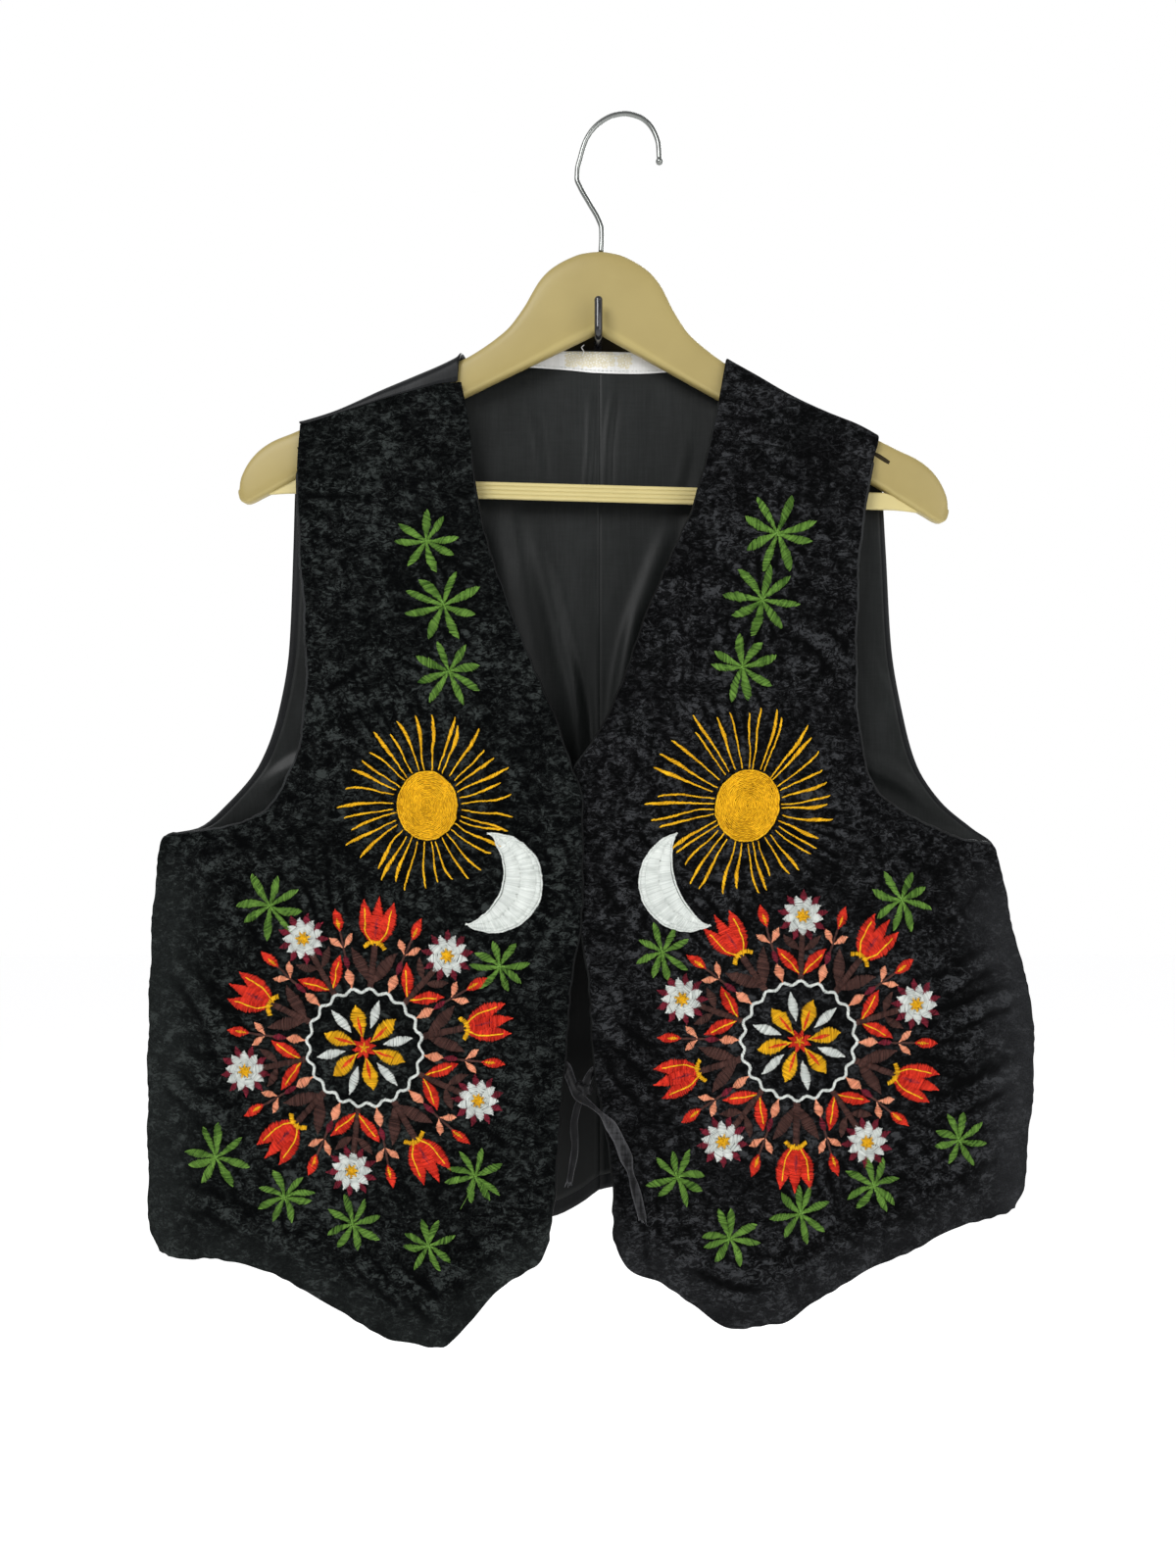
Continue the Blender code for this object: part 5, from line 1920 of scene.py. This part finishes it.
class NeckTape:
    """The white tape inside the back neck, with a worn patch in its middle."""

    columns = 150
    rows = 20
    patch_lift = 0.12
    thread_points = 16
    thread_radius = 0.34

    def __init__(self, lining: Array) -> None:
        """Lays the tape's middle surface on points of the lining near the neck.

        Its depth is the lining's, averaged over the points near by with the inverse square of
        the squared distance as weight.

        Args:
            lining: Points of the lining near the neck.
        """
        table = np.asarray(NECK_TAPE, float)
        x = np.linspace(table[0, 0], table[-1, 0], self.columns)
        edges = curve(NECK_TAPE, x)
        part = np.linspace(0, 1, self.rows)[:, None]
        z = edges[None, :, 1] * (1 - part) + edges[None, :, 0] * part
        x = np.broadcast_to(x[None, :], z.shape)
        away = (lining[None, :, 0] - x.reshape(-1, 1)) ** 2
        away = away + (lining[None, :, 2] - z.reshape(-1, 1)) ** 2
        weight = 1 / (away + 1.0) ** 2
        y = ((weight * lining[None, :, 1]).sum(1) / weight.sum(1)).reshape(z.shape)
        y = y - (LINING_WALL + TAPE_WALL) / 2 - SEAM_GAP
        self.grid = np.stack([x, y, z], axis=2)

    def worn(self, x: Array, z: Array) -> Array:
        """Where the tape is worn: uneven patches in its middle.

        Args:
            x: Places to the right.
            z: Places up.

        Returns:
            One where it is worn, else nought.
        """
        wobble = np.sin(x * 1.3) + np.sin(z * 2.1 + x * 0.4) + np.sin(x * 0.55 + 2.0)
        wide = ((x + 4.5) / 17.0) ** 4 + ((z + 10.6) / 5.4) ** 4
        small = ((x - 16.5) / 5.0) ** 4 + ((z + 12.0) / 4.6) ** 4
        broken = np.sin(x * 2.7 + z * 1.7) * np.sin(z * 3.1 - x * 0.9)
        inside = np.minimum(wide, small) + 0.22 * wobble < 1.0
        return (inside & (broken < 0.55)).astype(float)

    def build(self) -> None:
        """Makes the tape, the seams along its edges and a loose thread."""
        mask = self.worn(self.grid[:, :, 0], self.grid[:, :, 2])
        self.grid[:, :, 1] -= self.patch_lift * mask
        wall = closed_wall(self.grid, TAPE_WALL, {}, rim=2)
        patches = mask[:-1, :-1].reshape(-1).astype(int)
        wall.quad_finish[: len(patches)] = patches
        piece = wall.piece("neck_tape_cotton", "neck_tape", [TAPE, RESIDUE], "neck_tape")
        needle = Needle(pitch=2.6, width=0.5, jitter=0.12)
        draw = np.random.default_rng(5)
        seams = [
            needle.satin(self.grid[row][2:-2, [0, 2]], np.full(2, 0.05), 1.8, Thread.WHITE, draw)
            for row in (2, -3)
        ]
        Embroidery(Panel(self.grid, TAPE_WALL), "neck").work("tape_seam", gathered(seams), 6)
        end = [(-9.0, -12.8, -1.2), (-10.6, -14.0, -3.2), (-9.2, -13.6, -5.6), (-10.0, -13.2, -8.4)]
        size = np.full(self.thread_points, self.thread_radius)
        thread = tube(even_path(end, self.thread_points), size, size, FORWARD, 6)
        thread.piece("neck_thread_end", "neck_tape", [TAPE])


@dataclass(frozen=True)
class Hanger:
    """The moulded hanger: body, trouser bar and wire hook."""

    stations: int = 250
    ring: int = 30
    power: float = 0.5
    crown_z: float = 53.9
    half_depth: float = 6.5
    slots: tuple = (((174.0, -74.8), (183.2, -80.6)), ((-189.3, -71.8), (-181.0, -69.0)))
    slot_offset: float = 6.3
    slot_points: int = 12
    tip_rounding: float = 1.6
    bar_top_z: float = -93.5
    bar_height: float = 10.8
    bar_half_depth: float = 3.0
    bar_grooves: int = 3
    bar_end_x: float = 183.3
    bar_end_slope: float = 0.71
    bar_plain_x: float = 155.0
    bar_tip: Place = (207.0, -105.6)
    wire_radius: float = 1.65
    ball_radius: float = 2.4
    hook_points: int = 170

    def body_lines(self) -> Array:
        """Rows of top x, top z, low x, low z and half depth, from the left tip to the right.

        Returns:
            The rows, evenly spaced along the hanger.
        """
        arm = np.asarray(HANGER_ARM, float)
        left = arm[::-1] * np.array([-1.0, 1.0, -1.0, 1.0, 1.0])
        neck = np.array([[0.0, self.crown_z, 0.0, CROTCH_Z, self.half_depth]])
        lines = np.concatenate([left, neck, arm])
        run = running((lines[:, 0:2] + lines[:, 2:4]) / 2)
        return smooth(run, lines, repeated(np.linspace(0, run[-1], self.stations), 5))

    def build_body(self) -> None:
        """Makes the body: rounded rectangles across the arms, drawn in at the tips.

        A ring's points are the cosine and sine of its turn, each to the power of a half with
        its sign kept, times half the height and the half depth.
        """
        lines = self.body_lines()
        turn = -(np.arange(self.ring) + 0.5) * 2 * math.pi / self.ring
        up, out = (np.sign(w) * np.abs(w) ** self.power for w in (np.cos(turn), np.sin(turn)))
        up, out = ((w / np.abs(w).max())[None, :, None] for w in (up, out))
        level = np.full(len(lines), HANGER_MIDDLE_Y)
        top = np.stack([lines[:, 0], level, lines[:, 1]], axis=1)[:, None]
        low = np.stack([lines[:, 2], level, lines[:, 3]], axis=1)[:, None]
        deep = lines[:, None, 4:] * [0.0, 1.0, 0.0]
        rings = (top + low) / 2 + up * (top - low) / 2 + out * deep
        rings = np.concatenate([self.rounded(rings[0], -1), rings, self.rounded(rings[-1], 1)])
        shape = closed_rings(tilt(rings))
        # Painted highlight: a lighter line along the arms' lower front edge, where the bevel catches the
        # light; the rest a little darker.
        corner = np.exp(-(((up[0, :, 0] + 0.94) / 0.1) ** 2)) * (out[0, :, 0] < 0)
        shape.values["edge"] = np.append(np.tile(1.4 * corner - 0.1, len(rings)), [0.0, 0.0])
        shape.piece("hanger_moulding", "beige_plastic", [BEIGE], "hanger_body")
        # Painted shadow: the strap slots are dark strips laid on the arms' face, standing in for the
        # shade inside their recesses.
        made = []
        count = self.slot_points
        size = 1.6 * np.sin(np.linspace(0.35, math.pi - 0.35, count)) ** 0.25
        for slot in self.slots:
            ends = np.array([(x, HANGER_MIDDLE_Y - self.slot_offset, z) for x, z in slot])
            path = ends[:1] + np.linspace(0, 1, count)[:, None] * (ends[1:] - ends[:1])
            made.append(tube(path, size, np.full(count, 0.35), FORWARD, 14))
        joined(made).piece("hanger_strap_slots", "beige_plastic", [SLOT_SHADOW])

    def rounded(self, ring: Array, way: int) -> Array:
        """Rings that round off an end: a quarter circle of shrinking and moving out.

        Args:
            ring: The end's ring.
            way: Along x, -1 or 1.

        Returns:
            Three rings, in the order along x.
        """
        turn = np.array([0.5, 1.0, 1.4])[:, None, None]
        middle = ring.mean(0)
        shift = np.array([self.tip_rounding * way, 0.0, 0.0]) * np.sin(turn)
        return (middle + (ring - middle)[None] * np.cos(turn) + shift)[::way]

    def build_bar(self) -> None:
        """Makes the bar: its front dips by a squared cosine at each groove, and its ends taper."""
        pitch = self.bar_height / (self.bar_grooves + 1)
        down = np.linspace(0, 1, 44)
        below = -self.bar_height * down
        off = (below / pitch + 0.5) % 1 - 0.5
        inside = (down > 0.1) & (down < 0.9)
        dip = np.where(inside, 0.75 * np.cos(math.pi * np.clip(off / 0.56, -0.5, 0.5)) ** 2, 0)
        round_off = 0.7 * (1 - ease(np.minimum(down, 1 - down) / 0.07))
        front = np.stack([-self.bar_half_depth + dip + round_off, below], axis=1)
        back = np.stack([self.bar_half_depth - round_off[::4], below[::4]], axis=1)[::-1]
        deep, high = np.concatenate([front, back]).T
        x = np.linspace(-1, 1, 60)[:, None] * (self.bar_end_x - self.bar_end_slope * high[None])
        y = HANGER_MIDDLE_Y + deep + 0 * x
        z = self.bar_top_z + high + 0 * x
        plain = ease((np.abs(x) - self.bar_plain_x) / 8.0)
        flat = HANGER_MIDDLE_Y - self.bar_half_depth + round_off
        y[:, :44] += plain[:, :44] * (flat[None, :] - y[:, :44])
        tip_x, tip_z = self.bar_tip
        beyond = np.array([0.35, 0.7, 1.0])[:, None]
        side = HANGER_MIDDLE_Y + np.sign(deep) * (self.bar_half_depth - 0.4)
        far = [
            x[-1] + beyond * (tip_x - x[-1]),
            y[-1] + (side - y[-1]) * np.array([1.0, 1.0, 0.9])[:, None],
            z[-1] + beyond**1.3 * (tip_z + 0.25 * (z[-1] - tip_z) - z[-1]),
        ]
        near = [sign * part[::-1] for sign, part in zip((-1, 1, 1), far)]
        rings = np.stack([np.concatenate(parts) for parts in zip(near, (x, y, z), far)], axis=2)
        shape = closed_rings(tilt(rings))
        shape.piece("hanger_bar_ribbed", "bar_plastic", [BAR_CREAM], "hanger_bar")

    def build_hook(self) -> None:
        """Makes the wire hook, with a ball at its end."""
        stations = [(x, HANGER_MIDDLE_Y, z) for x, z in HOOK_PATH]
        path = tilt(even_path(stations, self.hook_points))
        shape = balled_rod(path, self.wire_radius, self.ball_radius, (0.0, 1.0, 0.0), 20)
        shape.piece("hanger_wire_hook", "chrome", [CHROME], "hanger_hook")


def balled_rod(path: Array, radius: float, ball: float, reference: Triple, size: int) -> Shape:
    """A round rod whose far end swells to a ball.

    The ball's rings have its radius times the sine of a turn, at its middle less the cosine
    times the radius, from where it meets the rod round to its tip.

    Args:
        path: The rod's middle line.
        radius: The rod's radius.
        ball: The ball's radius.
        reference: A direction off the path.
        size: Points in a ring.

    Returns:
        The closed body.
    """
    way = unit(path[-1] - path[-2])
    turn = np.linspace(math.asin(min(radius / ball, 0.98)), math.pi - 0.12, 16)[:, None]
    centre = path[-1] + way * ball * math.cos(turn[0, 0])
    extra = (centre - np.cos(turn) * way * ball)[1:]
    size_along = np.concatenate([np.full(len(path), radius), np.sin(turn[1:, 0]) * ball])
    return tube(np.concatenate([path, extra]), size_along, size_along, reference, size)


@dataclass(frozen=True)
class WallFixing:
    """The black plate and the rod hook that carries the hanger."""

    plate_radius: float = 25.0
    plate_thickness: float = 4.0
    rounding: float = 0.8
    rod_radius: float = 2.5
    rod_points: int = 90
    around: int = 72

    def build(self) -> None:
        """Makes the plate, turned round the y axis, and the rod hook."""
        rod = even_path([(0.0, y, z) for y, z in ROD_PATH], self.rod_points)
        shape = balled_rod(rod, self.rod_radius, self.rod_radius * 1.02, (1.0, 0.0, 0.0), 20)
        shape.piece("wall_rod_hook", "black_metal", [BLACK_METAL], "wall_hook")
        rim = np.linspace(0, math.pi / 2, 7)
        full, thick, bevel = self.plate_radius, self.plate_thickness, self.rounding
        depth = [[0.0, 0.4], thick - bevel + bevel * np.sin(rim), np.full(6, thick)]
        inner = full * np.linspace(0.9, 0.1, 6)
        radius = [[full - 0.4, full], full - bevel + bevel * np.cos(rim), inner]
        depth, radius = (np.concatenate(parts)[:, None] for parts in (depth, radius))
        turn = (np.arange(self.around) * 2 * math.pi / self.around)[None, :]
        rings = np.stack([radius * np.cos(turn), -depth + 0 * turn, radius * np.sin(turn)], axis=2)
        closed_rings(rings).piece("wall_round_plate", "black_metal", [BLACK_METAL], "wall_plate")


@dataclass(frozen=True)
class Studio:
    """The camera, the lights and the floor."""

    camera_place: Triple = (-0.00648, -0.980, -0.282677)
    camera_distance: float = 950.0
    half_frame: float = 493.758
    sensor: float = 36.0
    target: Triple = (0.0, 0.0, -0.3)
    floor_z: float = -1.3
    floor_size: float = 16.0

    def add(self, name: str, data: object) -> bpy.types.Object:
        """Makes an object from its data and links it.

        Args:
            name: Its name.
            data: Its camera, light or mesh.

        Returns:
            The object.
        """
        made = bpy.data.objects.new(name, data)
        bpy.context.collection.objects.link(made)
        return made

    def build_camera(self) -> None:
        """Makes the camera: level, looking along +Y, with the photo's angle of view."""
        data = bpy.data.cameras.new("camera")
        data.sensor_width = self.sensor
        data.lens = self.sensor / 2 * self.camera_distance / self.half_frame
        camera = self.add("camera", data)
        camera.location = self.camera_place
        camera.rotation_euler = (math.pi / 2, 0.0, 0.0)
        bpy.context.scene.camera = camera

    def light(self, name: str, place: Triple, size: float, power: float) -> None:
        """Adds a soft square light that looks at the middle of the waistcoat.

        Args:
            name: Its name.
            place: Where it is.
            size: Its side.
            power: Its power in watts.
        """
        data = bpy.data.lights.new(name, "AREA")
        data.size = size
        data.energy = power
        made = self.add(name, data)
        made.location = place
        x, y, z = np.subtract(self.target, place)
        made.rotation_euler = (math.atan2(math.hypot(x, y), -z), 0.0, math.atan2(-x, y))

    def build(self) -> None:
        """Makes the lights, the pale surroundings and the floor."""
        self.light("key_light", (-0.9, -1.7, 0.9), 1.0, 34.0)
        self.light("fill_light", (1.3, -1.5, 0.1), 1.4, 14.0)
        self.light("back_light", (0.6, 1.8, 0.8), 1.3, 30.0)
        world = bpy.data.worlds.new("studio")
        world.use_nodes = True
        bench = NodeBench(world.node_tree)
        place = bench.add("TexCoord").outputs["Generated"]
        share = bench.ramp(bench.add("SeparateXYZ", {"Vector": place}).outputs["Y"], -0.5, 0.55)
        shade = bench.mix(share, (0.36, 0.36, 0.37, 1.0), (1.0, 1.0, 1.0, 1.0))
        bench.feed(world.node_tree.nodes["Background"].inputs["Color"], shade)
        bpy.context.scene.world = world
        bpy.context.scene.view_settings.view_transform = "Standard"
        finish = bpy.data.materials.new("floor_pale")
        finish.use_nodes = True
        shader = finish.node_tree.nodes["Principled BSDF"]
        for name, value in (
            ("Base Color", (0.85, 0.85, 0.85, 1.0)), ("Roughness", 0.9),
            ("Emission Color", (1.0, 1.0, 1.0, 1.0)), ("Emission Strength", 0.4),
        ):
            shader.inputs[name].default_value = value
        half = self.floor_size / 2
        mesh = bpy.data.meshes.new("floor")
        corners = [(-half, -half), (half, -half), (half, half), (-half, half)]
        mesh.from_pydata([(x, y, self.floor_z) for x, y in corners], [], [(0, 1, 2, 3)])
        mesh.materials.append(finish)
        self.add("floor", mesh)


@dataclass(frozen=True)
class Layout:
    """Where the motifs of one front are: x and z, with turns in degrees and reaches."""

    side: str
    sprigs: tuple[tuple[float, float, float, float], ...]
    sun: Place
    sun_disc: Triple
    sun_rays: int
    sun_reach: float
    sun_longer: float
    crescent: tuple[Place, Place]
    crescent_centre: Place
    crescent_hollow: float
    garland: Place
    garland_turn: float
    seed: int
    mend: tuple[Place, ...] = ()
    tail: tuple[Place, ...] = ()
    pairs: int = 5

    def puckers(self) -> list[Pucker]:
        """Wrinkles round every motif.

        Returns:
            The wrinkles.
        """
        made = [Pucker((x, z), reach * 0.85, 8.5, 13, 0.42) for x, z, _, reach in self.sprigs]
        made.append(Pucker(self.sun, 52.0, 15.0, 41, 0.40))
        made.append(Pucker(self.sun, 24.0, 7.0, 29, 0.25))
        made.append(Pucker(self.garland, 90.0, 15.0, 57, 0.48))
        made.append(Pucker(self.garland, 44.0, 12.0, 31, 0.30))
        top, bottom = self.crescent
        middle = ((top[0] + bottom[0]) / 2 + self.crescent_hollow * 1.4, (top[1] + bottom[1]) / 2)
        made.append(Pucker(middle, 26.0, 11.0, 19, 0.42))
        return made

    def work(self, panel: Panel) -> None:
        """Embroiders the front's panel.

        Args:
            panel: The front.
        """
        needle = Embroidery(panel, self.side)
        sprigs = [
            LeafSprig(self.seed + k).plan(reach).placed((x, z), turn)
            for k, (x, z, turn, reach) in enumerate(self.sprigs)
        ]
        draw = np.random.default_rng(self.seed)
        if self.mend:
            coarse = Needle(pitch=2.4, width=0.7, jitter=0.3)
            sprigs.append(coarse.satin(self.mend, np.full(2, 1.1), 0.6, Thread.BLACK, draw))
        if self.tail:
            fine = Needle(pitch=1.6, width=0.34, jitter=0.05)
            sprigs.append(fine.satin(self.tail, np.full(2, 0.02), 2.2, Thread.LIME, draw, 0.5))
        sun = Sun(self.seed + 40).plan(self.sun_disc, self.sun_reach, self.sun_rays, self.sun_longer)
        crescent = Crescent(self.seed + 50).plan(
            self.crescent, self.crescent_centre, self.crescent_hollow
        )
        garland = Garland(self.seed + 60).plan(self.pairs)
        plans = {
            "sprigs": gathered(sprigs),
            "sun": sun.placed(self.sun),
            "crescent": crescent,
            "garland": garland.placed(self.garland, self.garland_turn),
        }
        for k, (name, plan) in enumerate(plans.items()):
            needle.work(name, plan, self.seed + k)


LEFT_LAYOUT = Layout(
    side="left",
    sprigs=(
        (-106.6, -132.2, 10, 18), (-95.7, -172.2, 25, 22), (-92, -213.5, 15, 20),
        (-203.7, -358.5, 28, 20.5), (-60.5, -394.3, 5, 16.5), (-238.3, -515.7, 30, 19.5),
        (-194.6, -538.7, 20, 16.5), (-151.5, -554.5, 12, 17), (-104.2, -565.4, 18, 15.5),
        (-75.7, -523, 22, 17),
    ),
    sun=(-105.0, -296.0),
    sun_disc=(18.7, 21.4, -4.0),
    sun_rays=36, sun_reach=57.5, sun_longer=0.02,
    crescent=((-66.9, -312.9), (-80.4, -368.6)),
    crescent_centre=(-66.0, -343.1),
    crescent_hollow=15.5,
    garland=(-144.2, -445.2),
    garland_turn=12.0,
    seed=100,
    tail=((-73.9, -516.3), (-76.6, -530.0), (-81.0, -536.0), (-84.6, -542.3)),
)
RIGHT_LAYOUT = Layout(
    side="right",
    sprigs=(
        (111.2, -127.3, 20, 24), (100.9, -168.6, 35, 23), (88.8, -210.5, 12, 20.5),
        (188.3, -354.9, 30, 18), (39, -385.8, 15, 16.5), (224.7, -504.8, 25, 16.8),
        (170.7, -532.1, 18, 17.5), (124, -547.2, 10, 18), (80.3, -561.2, 28, 17.5),
        (48.1, -523.6, 15, 17),
    ),
    sun=(91.4, -296.0),
    sun_disc=(19.8, 22.6, 20.0),
    sun_rays=38, sun_reach=61.0, sun_longer=0.08,
    crescent=((47.5, -313.3), (68.0, -369.8)),
    crescent_centre=(57.1, -342.7),
    crescent_hollow=-10.5,
    garland=(123.4, -441.0),
    garland_turn=-20.0,
    seed=300,
    mend=((94.7, -75.0), (105.0, -75.9), (116.2, -75.4)),
)

LEFT_FRONT = FrontCut(
    name="front_left",
    outer=LEFT_OUTER, inner=LEFT_INNER, hem=LEFT_HEM, top=LEFT_SHOULDER,
    mirrored=False, over_ridge=False,
    creases=folded(
        (-140, -200, -180, -228, 3.2, 1.6), (-176, -255, -140, -262, 4, 1, 2),
        (-160, -96, -120, -70, 4.5, 1, -3), (-262, -345, -215, -330, 4.5, 1.4, 2),
        (-268, -400, -236, -452, 5, 1.3, 5), (-273, -470, -244, -488, 4, 1.2, -2),
        (-262, -545, -215, -562, 4.5, 1.4, 3), (-131.5, -583, -99, -612, 3.6, 1.8, 2),
        (-150, -578, -116, -602, 3.4, 1.3, -2), (-86, -588, -58, -560, 3.6, 1.2, 2),
        (-48, -455, -60, -500, 5, 1.2, 3), (-36, -300, -24, -352, 4, 0.9, 2),
        (-60, -255, -48, -300, 4.5, 0.9, -2), (-146, -150, -132, -190, 5, 1, 3),
        (-188, -104, -140, -106.5, 2.2, -1.1), (-188, -98, -150, -99, 2.6, 0.8),
    ),
    crush=Crush(11, 0.42),
    flat=(0.275, 0.600), area=0.1128, underarm=0.465, corner_drop=9.5,
)
RIGHT_FRONT = FrontCut(
    name="front_right",
    outer=RIGHT_OUTER, inner=RIGHT_INNER, hem=RIGHT_HEM, top=RIGHT_SHOULDER,
    mirrored=True, over_ridge=True,
    creases=folded(
        (0.2, -434, 35.8, -462, 3.6, 1.5, 2), (6, -450, 32, -478, 3.4, 1.1, -2),
        (197, -449, 262, -418, 4.2, 1.9, 3), (201, -490.5, 262, -466, 4.6, 2, -3),
        (208, -420, 252, -392, 4, 1.3, 2), (212, -532, 250, -514, 4.2, 1.4, 2),
        (30.4, -512, 31, -574, 1.8, 0.9), (128, -92, 156, -74, 4, 1, 2),
        (120, -185, 150, -214, 4.4, 1.1, 3), (62, -232, 38, -256, 4.4, 0.9, 2),
        (232, -345, 214, -370, 4, 1.2, 2), (150, -280, 172, -318, 4.6, 1.1, -3),
        (98, -590, 60, -578, 3.6, 1.2, 2), (0, -330, 20, -372, 4.5, 1, 2),
    ),
    crush=Crush(12, 0.38),
    flat=(0.292, 0.602), area=0.1127, underarm=0.455, corner_drop=8.0,
)
LEFT_BACK = BackCut(
    side="left",
    outer=LEFT_BACK_OUTER, centre_x=0.6, hem=LEFT_BACK_HEM, top=LEFT_BACK_TOP,
    arc=LEFT_OVER_RIDGE, seam=LEFT_SHOULDER, mirrored=False,
    creases=folded(
        (-44, -120, -14, -262, 6, 2.2, 4), (-66, -90, -40, -240, 8, 2.4, -5),
        (-18, -205, -8, -300, 4, 2.6, 1), (-200, -150, -214, -262, 4, 1.6, 2),
        (-232, -292, -150, -260, 6, 2.4, 5), (-240, -380, -70, -330, 12, 3, 8),
        (-210, -520, -150, -380, 10, 2.6, 6), (-90, -540, -70, -400, 9, 2.6, -6),
        (-30, -545, -24, -430, 6, 2, 3), (-120, -70, -60, -140, 8, 1.8, 5),
        (-5, -30, -9, -104, 1.6, 0.9, 1.5), (-45, -38, -37, -86, 1.8, 0.7, 2),
    ),
    flat=(0.285, 0.620), area=0.1337, lining_flat=(0.278, 0.570), lining_area=0.1212,
)
RIGHT_BACK = BackCut(
    side="right",
    outer=RIGHT_BACK_OUTER, centre_x=1.0, hem=RIGHT_BACK_HEM, top=RIGHT_BACK_TOP,
    arc=RIGHT_OVER_RIDGE, seam=None, mirrored=True,
    creases=folded(
        (46, -118, 14, -236, 6, 2.2, -4), (10, -30, 5, -100, 1.7, 1.1, -1.5),
        (58, -60, 44, -112, 2.4, 0.4, 2), (66, -96, 36, -200, 7, 2.4, 4),
        (24, -170, 6, -280, 4.5, 2.6, -1), (184, -140, 196, -250, 4, 1.8, -2),
        (176, -205, 200, -262, 4, 1.6, 2), (214, -292, 140, -262, 6, 2.4, -5),
        (228, -390, 80, -320, 12, 3, -8), (196, -505, 140, -380, 10, 2.6, -6),
        (84, -530, 66, -400, 9, 2.6, 6), (26, -540, 22, -430, 6, 2, -3),
    ),
    flat=(0.275, 0.600), area=0.1174, lining_flat=(0.268, 0.550), lining_area=0.1085,
)


def main() -> None:
    """Builds the scene: the camera and the ties first, then cloth, embroidery and hanger."""
    logging.basicConfig(level=logging.INFO, format="%(name)s: %(message)s")
    studio = Studio()
    studio.build_camera()
    Tie("tie_left", LEFT_TIE, 150, 0.0, LEFT_TIE_WIDTHS).build()
    Tie("tie_right", RIGHT_TIE, 120, 1.4, RIGHT_TIE_WIDTHS).build()
    TieKnot().build()

    for cut, layout, finish in (
        (LEFT_FRONT, LEFT_LAYOUT, VELVET_LEFT), (RIGHT_FRONT, RIGHT_LAYOUT, VELVET_RIGHT)
    ):
        front = VelvetFront(cut, layout.puckers(), finish)
        front.build()
        layout.work(front.panel)

    near_neck = []
    for cut in (LEFT_BACK, RIGHT_BACK):
        lining = SatinBack(cut).build()
        near_neck.append(lining[-14::3, ::3].reshape(-1, 3))
    NeckTape(np.concatenate(near_neck)).build()

    hanger = Hanger()
    hanger.build_body()
    hanger.build_bar()
    hanger.build_hook()
    WallFixing().build()
    studio.build()


if __name__ == "__main__":
    main()
